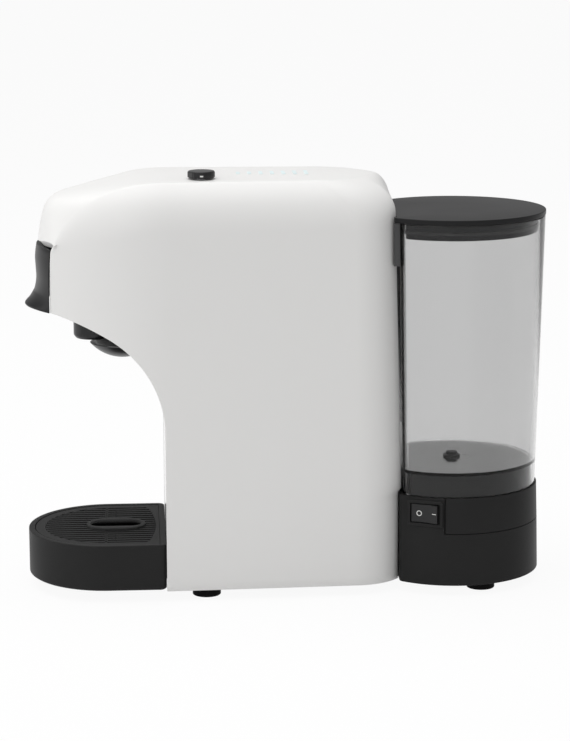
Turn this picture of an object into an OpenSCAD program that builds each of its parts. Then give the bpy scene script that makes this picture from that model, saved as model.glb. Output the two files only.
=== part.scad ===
// Pod coffee machine with a sliding capsule drawer, a lift-off water tank and a drip tray.
// Front faces -Y, +Z is up, millimetres. The origin is on the floor, under the middle of the
// whole machine.

/* [Overall] */
// Depth from the front of the drip tray to the back of the tank lid
overall_d = 311; // [305:1:316]
// Gap between the floor and the underside of the body
foot_h = 6.3; // [5:0.1:8]
// Height of the flat top of the hood
top_z = 247; // [246:0.5:249]

/* [Casing] */
// Half the width of the casing at the front wall
case_hw = 51.6; // [51:0.1:52]
// Wall of the moulded casing
case_t = 2.4; // [2:0.1:2.8]
// Place of the front wall along Y
front_y = -73.1; // [-73.4:0.1:-72.6]
// Radius of the arch over the cup space
arch_r = 64; // [62:0.5:66]
// Height at which the arch leaves the front wall
arch_z = 101.2; // [99:0.1:103]

/* [Water tank] */
// Radius of the tank lid
lid_r = 55; // [54:0.5:56]
// Height of the top of the lid
lid_top_z = 224.6; // [224:0.1:225.5]
// Outer radius of the tank at its rim
tank_rim_r = 54.8; // [54.4:0.1:54.9]
// Wall of the clear tank
tank_t = 2.2; // [1.8:0.1:2.6]
// Underside of the tank's floor
tank_floor_z = 72; // [71:0.5:73]

/* [Drip tray] */
// Half the width of the drip tray
tray_hw = 51.5; // [50:0.5:52]
// Top of the tray's rim
tray_top_z = 34.3; // [33:0.1:35]
// Space from one grid slat to the next
slat_pitch = 4.8; // [4:0.1:6]

/* [Drawer] */
// How far the capsule drawer slides out
drawer_travel = 50; // [40:1:52]
// Inner radius of the capsule cup
capsule_r = 16.8; // [15:0.1:17]

/* [Controls] */
// Diameter of the selector knob
knob_d = 16; // [14:0.5:18]
// Height of the selector knob
knob_h = 4; // [3.6:0.1:5]
// Number of light bars on the hood
light_count = 7; // [3:1:8]

/* [Hidden] */
$fn = 64;
eps = 0.01;
tank_y = overall_d / 2 - lid_r;
base_z = foot_h;

// ---------- Casing outline ----------
nose_y = -139;               // front edge of the casing sides
corner_y = 38;               // where the rear corner starts
corner_r = 32;               // radius of the rear corner in plan
corner_a = 57.5;             // angle that the rear corner turns through
side_taper = 4.6 / 110;      // how fast the sides narrow towards the back
rear_top_y = 62.8;           // rear face at the height of the lid
rear_lean = tan(1.45);       // slant of the rear face
rear_low_y = 65;             // rear face behind the tank base
hatch_hw = 16;               // half the width of the hose opening at the rear
hatch_z = 56;                // top of the hose opening
crease_z = 246.3;            // edge between the side and the hood
crease_x = 33.5;             // half width of the hood at the start of its round rear end
crease_y = 15;               // start of the hood's round rear end
crease_l = 39;               // length of the hood's round rear end
nose_len = 63.5;             // length over which the hood curves down at the front
nose_drop = 46;              // how far it would drop over that length
nose_start = -74;            // where the hood starts to curve down
shoulder_h = 28;             // height of the rounded shoulder
side_turn = 0.54;            // share of a quarter turn that the shoulder makes at the sides
roof_a = 61;                 // angle at which the arch turns into the roof
roof_bow = 1.26;             // how far the roof bows above a straight line
roof_y = front_y - arch_r + arch_r * cos(roof_a);
roof_z = arch_z + arch_r * sin(roof_a);
roof_end_z = 170.4;
taper_y = -72.5;             // where the sides start to close in, to the front and to the back

// Half width of the casing at depth y, in front of the rear corner
function side_hw(y) = case_hw - side_taper * max(0, y - taper_y)
    - (y < taper_y ? 3.6 * pow((taper_y - y) / 31, 2.14) : 0);
// A point on the casing's outline in plan; s past corner_y runs round the corner, then along
// the rear face
function corner_end(z) = z < 60 ? rear_low_y : rear_top_y + (222 - min(z, 222)) * rear_lean;
arc_end = corner_r * corner_a * PI / 180;
function outline(s, z) =
    let (w = side_hw(corner_y), a = (s - corner_y) / corner_r * 180 / PI,
         f = (corner_end(z) - corner_y) / (corner_r * sin(corner_a)))
    s <= corner_y ? [side_hw(s), s]
    : s <= corner_y + arc_end
      ? [w - corner_r * (1 - cos(a)), corner_y + corner_r * sin(a) * f]
      : [w - corner_r * (1 - cos(corner_a)) - (s - corner_y - arc_end), corner_end(z)];
rear_hw = side_hw(corner_y) - corner_r * (1 - cos(corner_a));

// The crease: [x, y, z] of the edge between side and hood
function nose_crease(b) = let (y = nose_start - nose_len * sin(b), k = sin(b) / sin(78))
    [side_hw(y) - 13.3 * (1 - k * k) - 0.6, y, crease_z - nose_drop * (1 - cos(b))];
function side_crease(y) = [
    side_hw(nose_start) - 13.9 + (crease_x - side_hw(nose_start) + 13.9)
        * (y - nose_start) / (crease_y - nose_start),
    y, crease_z];
function rear_crease(t) = [crease_x * pow(max(0, 1 - t * t), 0.75), crease_y + crease_l * t, crease_z];

// Each column of the side: [s at the bottom, z at the bottom, s at the shoulder, crease point,
// share of a quarter turn that the shoulder makes, how late the column bends on its way up]
nose_b = [78, 70, 62, 54, 45, 36, 27, 18, 9, 0];
arch_s = [nose_y, -128, -117];
arch_a = [roof_a, 54, 46, 37, 28, 19, 9.5];
function roof_at(y) = let (t = (roof_y - y) / (roof_y - nose_y))
    roof_z + (roof_end_z - roof_z) * t + 4 * roof_bow * t * (1 - t);
head_cols = [for (i = [0 : 9]) let (c = nose_crease(nose_b[i]))
    i < 3 ? [arch_s[i], roof_at(arch_s[i]), i == 0 ? nose_y + 0.8 : c[1], c, side_turn, 3 - i / 3]
    : [front_y - arch_r + arch_r * cos(arch_a[i - 3]), arch_z + arch_r * sin(arch_a[i - 3]),
       c[1], c, side_turn, max(1, 3 - i / 3)]];
wall_cols = [
    [front_y, arch_z, -66, side_crease(-66), side_turn, 1],
    [front_y, 55, -58, side_crease(-58), side_turn, 1],
    [front_y, base_z, -50, side_crease(-50), side_turn, 1],
    [-40, base_z, -30, side_crease(-30), side_turn, 1],
    [0, base_z, 2, side_crease(-4), side_turn, 1]];
corner_steps = 7;
corner_cols = [for (i = [0 : corner_steps]) let (k = i / corner_steps)
    [corner_y + arc_end * k, base_z, corner_y + arc_end * k, rear_crease(0.72 * k), side_turn + 0.3 * k, 1]];
rear_xs = [24, 16, 8, 0.1];
rear_cols = [for (x = rear_xs) let (s = corner_y + arc_end + rear_hw - x)
    [s, base_z, s, rear_crease(0.72 + 0.28 * (1 - x / rear_hw)), side_turn + 0.3, 1]];
side_cols = concat(head_cols, wall_cols, corner_cols, rear_cols);

wall_rows = [0, 0.08, 0.17, 0.2415, 0.2515, 0.4, 0.55, 0.7, 0.85];
arc_rows = [for (i = [0 : 7]) i / 7];
// The shoulder is lower at the nose and, with its fuller turn, at the rear
function shoulder_z(c) =
    c[3][2] - shoulder_h * (1 - c[4] + side_turn) * max(0.2, min(1, (c[3][2] - 205) / 36));
function wall_pt(c, v) =
    let (z = c[1] + (shoulder_z(c) - c[1]) * v, p = outline(c[0] + (c[2] - c[0]) * pow(v, c[5]), z))
    [p[0], p[1], z];
function arc_pt(c, v) = let (z0 = shoulder_z(c), p = outline(c[2], z0), a = 90 * c[4] * v,
                             h = (1 - cos(a)) / (1 - cos(90 * c[4])), u = sin(a) / sin(90 * c[4]))
    [p[0] + (c[3][0] - p[0]) * h, p[1] + (c[3][1] - p[1]) * h, z0 + (c[3][2] - z0) * u];
side_grid = [for (c = side_cols)
    concat([for (v = wall_rows) wall_pt(c, v)], [for (v = arc_rows) arc_pt(c, v)])];

// ---------- Shapes made from a grid of points ----------
function unit(v) = v / max(norm(v), 1e-9);
function grid_normal(g, i, j) =
    let (n = len(g) - 1, m = len(g[0]) - 1)
    unit(cross(g[min(i + 1, n)][j] - g[max(i - 1, 0)][j], g[i][min(j + 1, m)] - g[i][max(j - 1, 0)]));
function inset_grid(g, t) =
    [for (i = [0 : len(g) - 1]) [for (j = [0 : len(g[0]) - 1]) g[i][j] - t * grid_normal(g, i, j)]];
function flat(g) = [for (row = g) for (p = row) p];

// Closed solid between an outer grid and an inner grid of the same size
module skin(outer, inner) {
    n = len(outer);
    m = len(outer[0]);
    o = n * m;
    polyhedron(
        points = concat(flat(outer), flat(inner)),
        faces = concat(
            [for (i = [0 : n - 2], j = [0 : m - 2], k = [0, 1])
                let (a = i * m + j, b = a + 1, c = a + m, d = c + 1) k == 0 ? [a, b, d] : [a, d, c]],
            [for (i = [0 : n - 2], j = [0 : m - 2], k = [0, 1])
                let (a = o + i * m + j, b = a + 1, c = a + m, d = c + 1) k == 0 ? [a, d, b] : [a, c, d]],
            [for (i = [0 : n - 2], e = [0, 1], k = [0, 1])
                let (a = i * m + e * (m - 1), c = a + m)
                e == 0 ? (k == 0 ? [a, c, o + c] : [a, o + c, o + a])
                       : (k == 0 ? [a, o + c, c] : [a, o + a, o + c])],
            [for (j = [0 : m - 2], e = [0, 1], k = [0, 1])
                let (a = e * (n - 1) * m + j, b = a + 1)
                e == 0 ? (k == 0 ? [a, o + b, b] : [a, o + a, o + b])
                       : (k == 0 ? [a, b, o + b] : [a, o + b, o + a])]),
        convexity = 10);
}

// Round tube swept along a path of points
function ring_frame(p, i) =
    let (n = len(p) - 1, d = unit(p[min(i + 1, n)] - p[max(i - 1, 0)]),
         side = unit(cross(d, abs(d[2]) < 0.9 ? [0, 0, 1] : [1, 0, 0])))
    [side, cross(side, d)];
module sweep(path, r, sides = 8) {
    n = len(path);
    pts = [for (i = [0 : n - 1]) let (f = ring_frame(path, i)) for (k = [0 : sides - 1])
        path[i] + r * (cos(k * 360 / sides) * f[0] + sin(k * 360 / sides) * f[1])];
    polyhedron(
        points = pts,
        faces = concat(
            [[for (k = [0 : sides - 1]) k]],
            [[for (k = [0 : sides - 1]) n * sides - 1 - k]],
            [for (i = [0 : n - 2], k = [0 : sides - 1])
                let (a = i * sides + k, b = i * sides + (k + 1) % sides)
                [a, a + sides, b + sides, b]]),
        convexity = 10);
}
// Points of a smooth curve through hand-set points
function spline_pt(p, i, t) =
    let (n = len(p) - 1, a = p[max(i - 1, 0)], b = p[i], c = p[min(i + 1, n)], d = p[min(i + 2, n)])
    0.5 * (2 * b + (c - a) * t + (2 * a - 5 * b + 4 * c - d) * t * t + (3 * b - a - 3 * c + d) * t * t * t);
function spline(p, steps) = concat(
    [for (i = [0 : len(p) - 2], s = [0 : steps - 1]) spline_pt(p, i, s / steps)], [p[len(p) - 1]]);

// ---------- Casing ----------
module casing_half() {
    inner = [for (row = inset_grid(side_grid, case_t)) [for (p = row) [max(0.1, p[0]), p[1], p[2]]]];
    difference() {
        skin(side_grid, inner);
        translate([-1, rear_low_y - 10, 0]) cube([hatch_hw + 1, 20, hatch_z]);
    }
}
module casing_right() {
    color("whitesmoke") casing_half();
}
module casing_left() {
    color("whitesmoke") mirror([1, 0, 0]) casing_half();
}

// ---------- Hood ----------
hood_gap = 0.15;             // seam between hood and casing
hood_mid = [                 // [y, z] down the middle of the nose, one for each of nose_b
    [-146.1, 209.6], [-145.1, 217.5], [-143.5, 225], [-140.6, 231.5], [-135.4, 235.8],
    [-126, 238.6], [-114, 241.2], [-101, 243.7], [-88, 245.8], [nose_start, top_z]];
hood_s = [1, 0.93, 0.8, 0.6, 0.35, 0, -0.35, -0.6, -0.8, -0.93, -1];
function crease_y_at(x) = crease_y + crease_l * sqrt(max(0, 1 - pow(x / crease_x, 4 / 3)));
end_crease = rear_crease(0.72);
end_bulge = crease_y + crease_l - end_crease[1];
function hood_station(c, m, k) = [for (s = hood_s)
    let (x = (c[0] - hood_gap) * s,
         g = 1 - pow(abs(s), 2.5),
         f = k * (crease_y_at(end_crease[0] * abs(s)) - end_crease[1]) / end_bulge + (1 - k) * g)
    [x, c[1] + (m[0] - c[1]) * f, c[2] + (m[1] - c[2]) * g]];
// The hood turns in under its front edge and ends just over the drawer
function chin(depth, drop) = [for (p = hood_station(nose_crease(nose_b[0]), hood_mid[0], 0))
    [p[0] * (1 - depth / 34), p[1] + depth, p[2] - drop]];
hood_grid = concat(
    [chin(2.4, 2.1), chin(1.4, 0.9)],
    [for (i = [0 : 9]) hood_station(nose_crease(nose_b[i]), hood_mid[i], 0)],
    [for (y = [-66, -58, -50, -30, -4]) hood_station(side_crease(y), [y, top_z], 0)],
    [for (i = [0 : corner_steps]) let (k = i / corner_steps, c = rear_crease(0.72 * k))
        hood_station([c[0], c[1] - hood_gap, c[2]],
                     [c[1] - hood_gap + k * end_bulge, top_z - 0.7 * pow(k, 4)], k)]);
hood_inner = let (g = inset_grid(hood_grid, 2.2), n = len(g) - 1, m = len(hood_s) - 1)
    [for (i = [0 : n]) [for (j = [0 : m])
        g[i][j] - [(j == 0 ? 2.2 : 0) - (j == m ? 2.2 : 0), i == n ? 2.2 : 0, 0]]];
knob_at = [24, -50];
shaft_r = 3;
module hood() {
    color("whitesmoke") difference() {
        skin(hood_grid, hood_inner);
        translate([knob_at[0], knob_at[1], top_z - 8]) cylinder(r = shaft_r + 0.6, h = 12);
    }
}

// ---------- Front wall and rear panel ----------
wall_t = 2.4;
wall_gap = 0.6;              // play between the front wall and the casing sides
function arch_line(d) = concat(
    [for (y = [nose_y + 0.5 : 6 : roof_y - 1]) [y, roof_at(y) + d]],
    [for (i = [0 : 12]) let (a = roof_a * (1 - i / 12))
        [front_y - arch_r + (arch_r + d) * cos(a), arch_z + (arch_r + d) * sin(a)]],
    [[front_y + d, 13]]);
// Casing outline in plan, moved inwards by d, between two depths
function plan_side(d, y0, y1) = [for (i = [0 : 16]) let (y = y0 + (y1 - y0) * i / 16) [side_hw(y) - d, y]];
module plan_prism(d, y0, y1, z0, z1) {
    p = plan_side(d, y0, y1);
    translate([0, 0, z0]) linear_extrude(z1 - z0)
        polygon(concat(p, [for (i = [len(p) - 1 : -1 : 0]) [-p[i][0], p[i][1]]]));
}
// A profile drawn as [y, z], pulled along X to half width w
module side_profile(points, w) {
    rotate([90, 0, 90]) translate([0, 0, -w]) linear_extrude(2 * w) polygon(points);
}
neck_at = [0, -100];
spout_y = -115.3;
module front_wall() {
    inner = arch_line(wall_t);
    color("whitesmoke") difference() {
        intersection() {
            side_profile(concat(arch_line(0.1), [for (i = [len(inner) - 1 : -1 : 0]) inner[i]]), 60);
            plan_prism(case_t + wall_gap, nose_y, front_y + 6, 12, 190);
        }
        translate([0, spout_y, 150]) cylinder(r = 7.2, h = 30);
    }
}
panel_t = 0.6;
panel_top_z = 194;
panel_hw = 24;
module rear_panel() {
    z0 = 100;
    color("#1c1c1e") side_profile([
        [corner_end(z0) + 0.05, z0], [corner_end(z0) + panel_t, z0],
        [corner_end(panel_top_z) + panel_t, panel_top_z], [corner_end(panel_top_z) + 0.05, panel_top_z]],
        panel_hw);
}

// ---------- Base, feet and chassis ----------
plate_z = 9.3;
floor_steps = [for (y = [front_y + 3 : 8 : corner_y]) y];
floor_side = concat([for (y = floor_steps) outline(y, 0)],
                    [for (i = [0 : 6]) outline(corner_y + arc_end * i / 6, 0)]);
floor_outline = concat(
    floor_side, [for (i = [len(floor_side) - 1 : -1 : 0]) [-floor_side[i][0], floor_side[i][1]]]);
tongue_hw = 29.5;
tongue_y = -134;
foot_r = 8.4;
foot_at = [[35.9, -49.5], [-35.9, -49.5], [32, 114.7], [-32, 114.7]];
screw_at = [[26, -58], [-26, -58], [26, -30], [-26, -30]];
module base_plate() {
    color("#1c1c1e") difference() {
        union() {
            translate([0, 0, base_z + 0.2]) linear_extrude(plate_z - base_z - 0.2)
                offset(delta = -case_t - 0.3) polygon(floor_outline);
            translate([-tongue_hw, tongue_y, 8]) cube([2 * tongue_hw, front_y - tongue_y + 6.8, 4.5]);
            translate([-tongue_hw, front_y, 8]) cube([2 * tongue_hw, 14, plate_z - 8]);
        }
        for (p = foot_at) if (p[1] < 0) translate([p[0], p[1], 0]) cylinder(r = 2.55, h = 20);
        for (p = screw_at) translate([p[0], p[1], 0]) {
            cylinder(r = 1.55, h = 20);
            cylinder(r = 3.2, h = 8);
        }
    }
}
module rubber_feet() {
    color("#111111") for (p = foot_at) translate([p[0], p[1], 0]) {
        cylinder(r1 = foot_r - 0.4, r2 = foot_r, h = 0.5);
        translate([0, 0, 0.5]) cylinder(r = foot_r, h = base_z - 0.5 + (p[1] < 0 ? 0.2 : 0));
        translate([0, 0, base_z - 1]) cylinder(r = 2.5, h = plate_z - base_z + 1);
    }
}
chassis_y = -24;
chassis_t = 2.5;
chassis_hw = 34;
shelf_z = 128;
module base_screws() {
    color("silver") for (p = screw_at) translate([p[0], p[1], 0]) {
        translate([0, 0, base_z + 0.3]) cylinder(r = 3, h = 1.4);
        translate([0, 0, base_z + 0.3]) cylinder(r = 1.5, h = 5);
    }
}
module chassis() {
    color("dimgray") difference() {
        union() {
            translate([-chassis_hw, chassis_y, plate_z]) cube([2 * chassis_hw, chassis_t, 223 - plate_z]);
            translate([-chassis_hw, -66, plate_z]) cube([2 * chassis_hw, 44, 2.5]);
            translate([-chassis_hw, -66, shelf_z]) cube([2 * chassis_hw, 44, 3]);
            translate([-10, chassis_y, 222]) cube([40, chassis_t, board_z - 222]);
        }
        for (p = screw_at) translate([p[0], p[1], 0]) cylinder(r = 1.55, h = 20);
        translate([-11, chassis_y - 1, 28]) cube([22, 6, 26]);
        translate([-24, chassis_y - 1, 62]) cube([48, 6, 26]);
        for (x = [-26, 10]) translate([x, chassis_y - 1, 136]) cube([16, 6, 26]);
    }
}

// ---------- Tank base, collar, coupling and switch ----------
seam_z = 37.4;
collar_top_z = 59;
low_r = 52.5;                // radius of the tank base at the floor
mid_r = 51.9;                // at the seam
high_r = 51.3;               // at the collar's top
base_chord = 35.1;           // from the tank's centre to the flat front of its base
base_t = 2.4;
// Round solid with a flat front: radii and chord distances at its foot and top
module d_solid(r1, r2, c1, c2, z1, z2) {
    difference() {
        translate([0, tank_y, z1]) cylinder(r1 = r1, r2 = r2, h = z2 - z1, $fn = 96);
        side_profile([[tank_y - c1 - 60, z1 - 1], [tank_y - c1 + (c1 - c2) * -1 / (z2 - z1), z1 - 1],
                      [tank_y - c2 - (c1 - c2) * -1 / (z2 - z1), z2 + 1], [tank_y - c1 - 60, z2 + 1]], 80);
    }
}
gland_z = 22;
gland_r = 6.5;
gland_turn = 30;             // the cord leaves this far round from the rear, on the left
module at_gland() {
    translate([0, tank_y, gland_z]) rotate([0, 0, gland_turn]) translate([0, 44, 0])
        rotate([-90, 0, 0]) children();
}
switch_turn = -24;           // the switch faces this far round towards the front
switch_z = 49.5;
panel_end_y = 91.4;          // rear end of the switch panel
module at_switch() {
    translate([0, tank_y, switch_z]) rotate([0, 0, switch_turn]) translate([mid_r - 0.3, 0, 0]) children();
}
module switch_zone(grow) {
    translate([30, tank_y - base_chord - 5, seam_z])
        cube([30, panel_end_y - tank_y + base_chord + 5 + grow, 40]);
}
module tank_base() {
    color("#232325") difference() {
        union() {
            difference() {
                d_solid(low_r, mid_r, base_chord, base_chord, base_z, seam_z);
                d_solid(low_r - base_t, mid_r - base_t, base_chord - base_t, base_chord - base_t,
                        plate_z, seam_z + 1);
            }
            intersection() {
                difference() {
                    d_solid(mid_r, high_r, base_chord, base_chord, seam_z - eps, collar_top_z);
                    d_solid(mid_r - base_t, high_r - base_t, base_chord - base_t, base_chord - base_t,
                            seam_z - 1, collar_top_z + 1);
                }
                switch_zone(0);
            }
        }
        at_switch() translate([-8, -9.9, -6.65]) cube([16, 19.8, 13.3]);
        at_switch() translate([-1.25, -11.05, -8.05]) cube([6, 22.1, 16.1]);
        for (p = foot_at) if (p[1] > 0) translate([p[0], p[1], 0]) cylinder(r = 2.55, h = 20);
        at_gland() cylinder(r = gland_r + 0.05, h = 20);
        translate([6, tank_y - base_chord - 5, 24.5]) rotate([-90, 0, 0]) cylinder(r = 5.5, h = 12);
    }
}
deck_t = 2;
stage_r = 47.2;              // raised stage that the tank sits over
stage_chord = 28.3;
stage_top_z = 71.8;
socket_r = 11.5;
flange_z = 66.3;             // underside of the flange that holds the socket
flange_t = 1.95;
coupling_screw_r = 14;
module coupling_spots() {
    for (a = [90, 210, 330]) translate([0, tank_y, 0]) rotate([0, 0, a]) translate([coupling_screw_r, 0, 0])
        children();
}
module tank_collar() {
    color("#232325") difference() {
        union() {
            difference() {
                d_solid(mid_r, high_r, base_chord, base_chord, seam_z + 0.4, collar_top_z);
                d_solid(mid_r - base_t, high_r - base_t, base_chord - base_t, base_chord - base_t,
                        seam_z - 1, collar_top_z - deck_t);
            }
            d_solid(stage_r, stage_r, stage_chord, stage_chord, collar_top_z - eps, stage_top_z);
        }
        difference() {
            d_solid(stage_r - 2, stage_r - 2, stage_chord - 2, stage_chord - 2, seam_z, stage_top_z - deck_t);
            translate([0, tank_y, flange_z + flange_t + 0.05]) cylinder(r = 17, h = 10);
        }
        translate([0, tank_y, 60]) cylinder(r = socket_r + 0.2, h = 20);
        coupling_spots() translate([0, 0, 60]) cylinder(r = 1.25, h = 20);
        coupling_spots() translate([0, 0, stage_top_z - 1.1]) cylinder(r = 2.4, h = 20);
        difference() {
            switch_zone(0.3);
            d_solid(high_r - base_t - 0.3, high_r - base_t - 0.3, base_chord - base_t - 0.3,
                    base_chord - base_t - 0.3, seam_z - 5, 90);
        }
    }
}
nozzle_r = 5.9;              // nozzle under the tank valve
socket_top_z = 68;
module coupling_socket() {
    color("dimgray") translate([0, tank_y, 0]) difference() {
        union() {
            translate([0, 0, 54]) cylinder(r = socket_r - 2, h = socket_top_z - 54);
            translate([0, 0, flange_z]) cylinder(r = 17, h = flange_t);
            translate([0, 0, 46]) cylinder(r = 3.2, h = 9);
        }
        difference() {
            translate([0, 0, 59]) cylinder(r = nozzle_r + 0.3, h = 20);
            translate([0, 0, 58]) cylinder(r = 1.2, h = 2.9);
        }
        translate([0, 0, 63]) cylinder(r = 7.3, h = 2);
        for (a = [0, 120, 240]) rotate([0, 0, a]) translate([3.4, 0, 56]) cylinder(r = 1.1, h = 5);
        translate([0, 0, 45]) cylinder(r = 2, h = 9);
        translate([0, 0, 54.5]) cylinder(r = 4.8, h = 2);
        translate([0, 0, 53]) cylinder(r = 2, h = 2);
        for (a = [90, 210, 330]) rotate([0, 0, a]) translate([coupling_screw_r, 0, 60])
            cylinder(r = 1.25, h = 20);
    }
}
module coupling_seal() {
    color("black") translate([0, tank_y, 63.05]) difference() {
        cylinder(r = 7.25, h = 1.9);
        translate([0, 0, -1]) cylinder(r = nozzle_r + 0.05, h = 4);
    }
}
module coupling_screws() {
    color("silver") coupling_spots() {
        translate([0, 0, flange_z + 0.2]) cylinder(r = 1.2, h = stage_top_z - 0.5 - flange_z);
        translate([0, 0, stage_top_z - 1.05]) cylinder(r = 2.3, h = 1);
    }
}
module cord_gland() {
    color("#18181a") at_gland() difference() {
        union() {
            cylinder(r = gland_r, h = 8.6);
            translate([0, 0, 8.4]) cylinder(r = gland_r + 1.8, h = 1.4);
        }
        translate([0, 0, -1]) cylinder(r = 3.6, h = 12);
    }
}
rocker_len = 17;
rocker_w = 11;
rocker_tilt = -5;            // its front end is pressed in: switched off
module switch_frame() {
    color("#151517") at_switch() difference() {
        union() {
            translate([-1.2, -11, -8]) cube([1.9, 22, 16]);
            translate([-12, -9.7, -6.5]) cube([12, 19.4, 13]);
        }
        translate([-7.5, -rocker_len / 2 - 0.5, -rocker_w / 2 - 0.3])
            cube([12, rocker_len + 1, rocker_w + 0.6]);
        translate([-2.3, 0, -6.2]) cylinder(r = 1.05, h = 12.4, $fn = 32);
    }
}
module switch_rocker() {
    color("#1d1d1f") at_switch() translate([-2.3, 0, 0]) rotate([0, 0, rocker_tilt]) {
        translate([0, 0, -rocker_w / 2]) linear_extrude(rocker_w)
            polygon([[-2.5, -3], [-2.5, 3], [2, 8.3], [3.6, 8.2], [2.7, 0], [3.6, -8.2], [2, -8.3]]);
        translate([0, 0, -6.1]) cylinder(r = 1, h = 12.2, $fn = 32);
    }
}

// ---------- Tank, valve, clip and lid ----------
rim_z = 221.45;
skirt_z = 59.05;
tank_rim_chord = 35.8;
draft = tan(1.6);            // slope of the tank's round wall
front_draft = tan(0.985);    // slope of its flat front
function tank_r(z) = tank_rim_r - (rim_z - z) * draft;
function tank_chord(z) = tank_rim_chord - (rim_z - z) * front_draft;
module tank_form(inset, z1, z2) {
    d_solid(tank_r(z1) - inset, tank_r(z2) - inset, tank_chord(z1) - inset, tank_chord(z2) - inset, z1, z2);
}
floor_t = 2;
valve_r = 4.4;               // the valve where it passes through the floor
module tank() {
    color("lightgray", 0.4) difference() {
        tank_form(0, skirt_z, rim_z);
        tank_form(tank_t, tank_floor_z + floor_t, rim_z + 1);
        tank_form(tank_t, skirt_z - 1, tank_floor_z);
        translate([0, tank_y, tank_floor_z - 1]) cylinder(r = valve_r + 0.1, h = 5);
    }
}
valve_neck_r = 3.3;
valve_top_z = 77;
spring_low_z = 64.45;
spring_high_z = 70.65;
module tank_valve() {
    floor_z = tank_floor_z + floor_t;
    color("#2c2c2e") translate([0, tank_y, 0]) difference() {
        union() {
            translate([0, 0, 61]) cylinder(r = nozzle_r, h = 6.2);
            translate([0, 0, 67]) cylinder(r = valve_neck_r, h = valve_top_z - 67);
            translate([0, 0, 70.6]) cylinder(r = 5.1, h = tank_floor_z - 70.6 - 0.02);
            translate([0, 0, 71]) cylinder(r = valve_r, h = floor_z - 70);
            translate([0, 0, floor_z + 0.02]) cylinder(r = 5.1, h = 1.2);
        }
        translate([0, 0, 62.2]) cylinder(r = 4, h = 4.2);
        translate([0, 0, 60]) cylinder(r = 2.6, h = 3);
        translate([0, 0, 62]) cylinder(r = 2.4, h = 9);
        translate([0, 0, 70]) cylinder(r = 1.7, h = 6.4);
        for (a = [0, 90]) rotate([0, 0, a]) translate([-5, -0.6, floor_z + 1.3]) cube([10, 1.2, 1]);
    }
}
module valve_poppet() {
    color("ivory") translate([0, tank_y, 0]) {
        translate([0, 0, 61.2]) cylinder(r = 1.4, h = 12);
        translate([0, 0, 62.25]) cylinder(r = 3.7, h = 1.9);
    }
}
module valve_spring() {
    turns = 4;
    rise = (spring_high_z - spring_low_z) / (turns * 14);
    color("silver") translate([0, tank_y, spring_low_z]) sweep([for (i = [0 : turns * 14])
        [1.95 * cos(i * 360 / 14), 1.95 * sin(i * 360 / 14), rise * i]], 0.3, 6);
}
clip_low_z = 196;
clip_t = 1.3;
clip_front_y = 61.5;         // front edge of the clip's side tabs
module tank_clip() {
    y_low = tank_y - tank_chord(clip_low_z) - 0.03;
    high_z = rim_z - 0.2;
    y_high = tank_y - tank_chord(high_z) - 0.03;
    color("#202022") {
        difference() {
            side_profile([[y_low - clip_t, clip_low_z], [y_low, clip_low_z],
                          [y_high, high_z], [y_high - clip_t, high_z]], 38.5);
            translate([-33, 0, clip_low_z + 6]) cube([66, 80, 6]);
        }
        for (x = [-38.5, 35.5]) translate([x, clip_front_y, clip_low_z])
            cube([3, y_high - clip_t + 0.5 - clip_front_y, high_z - clip_low_z]);
    }
}
lid_chord = tank_y - 61.5;
notch_y = 63.2;              // the lid is cut back to here behind the casing
lid_t = 3.1;
lid_skirt_r = 50.9;
lid_skirt_chord = 32.2;
module tank_lid() {
    z = lid_top_z - lid_t;
    color("#2b2b2d") {
        difference() {
            union() {
                d_solid(lid_r - 0.4, lid_r, lid_chord, lid_chord, z, z + 0.5);
                d_solid(lid_r, lid_r, lid_chord, lid_chord, z + 0.5 - eps, lid_top_z - 0.3);
                d_solid(lid_r, lid_r - 0.3, lid_chord, lid_chord - 0.3, lid_top_z - 0.3 - eps, lid_top_z);
            }
            translate([-36, 0, z - 1]) cube([72, notch_y, lid_t + 2]);
        }
        difference() {
            d_solid(lid_skirt_r, lid_skirt_r, lid_skirt_chord, lid_skirt_chord, 212, z + eps);
            d_solid(lid_skirt_r - 1.8, lid_skirt_r - 1.8, lid_skirt_chord - 1.8, lid_skirt_chord - 1.8,
                    211, z - eps);
            difference() {
                d_solid(lid_skirt_r + 1, lid_skirt_r + 1, lid_skirt_chord + 1, lid_skirt_chord + 1, 215, 217);
                d_solid(lid_skirt_r - 0.8, lid_skirt_r - 0.8, lid_skirt_chord - 0.8, lid_skirt_chord - 0.8,
                        214, 218);
            }
        }
    }
}
module lid_seal() {
    color("black") difference() {
        d_solid(lid_skirt_r + 0.6, lid_skirt_r + 0.6, lid_skirt_chord + 0.5, lid_skirt_chord + 0.5,
                215.05, 216.95);
        d_solid(lid_skirt_r - 0.75, lid_skirt_r - 0.75, lid_skirt_chord - 0.75, lid_skirt_chord - 0.75,
                214, 218);
    }
}

// ---------- Drip tray and grid ----------
tray_low_z = 7;
tray_back_y = -73.8;
tray_mid_y = -107.5;
tray_nose = overall_d / 2 - 0.1 + tray_mid_y;
tray_corner_r = 5;
grid_top_z = 34;
grid_t = 2.8;
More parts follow.
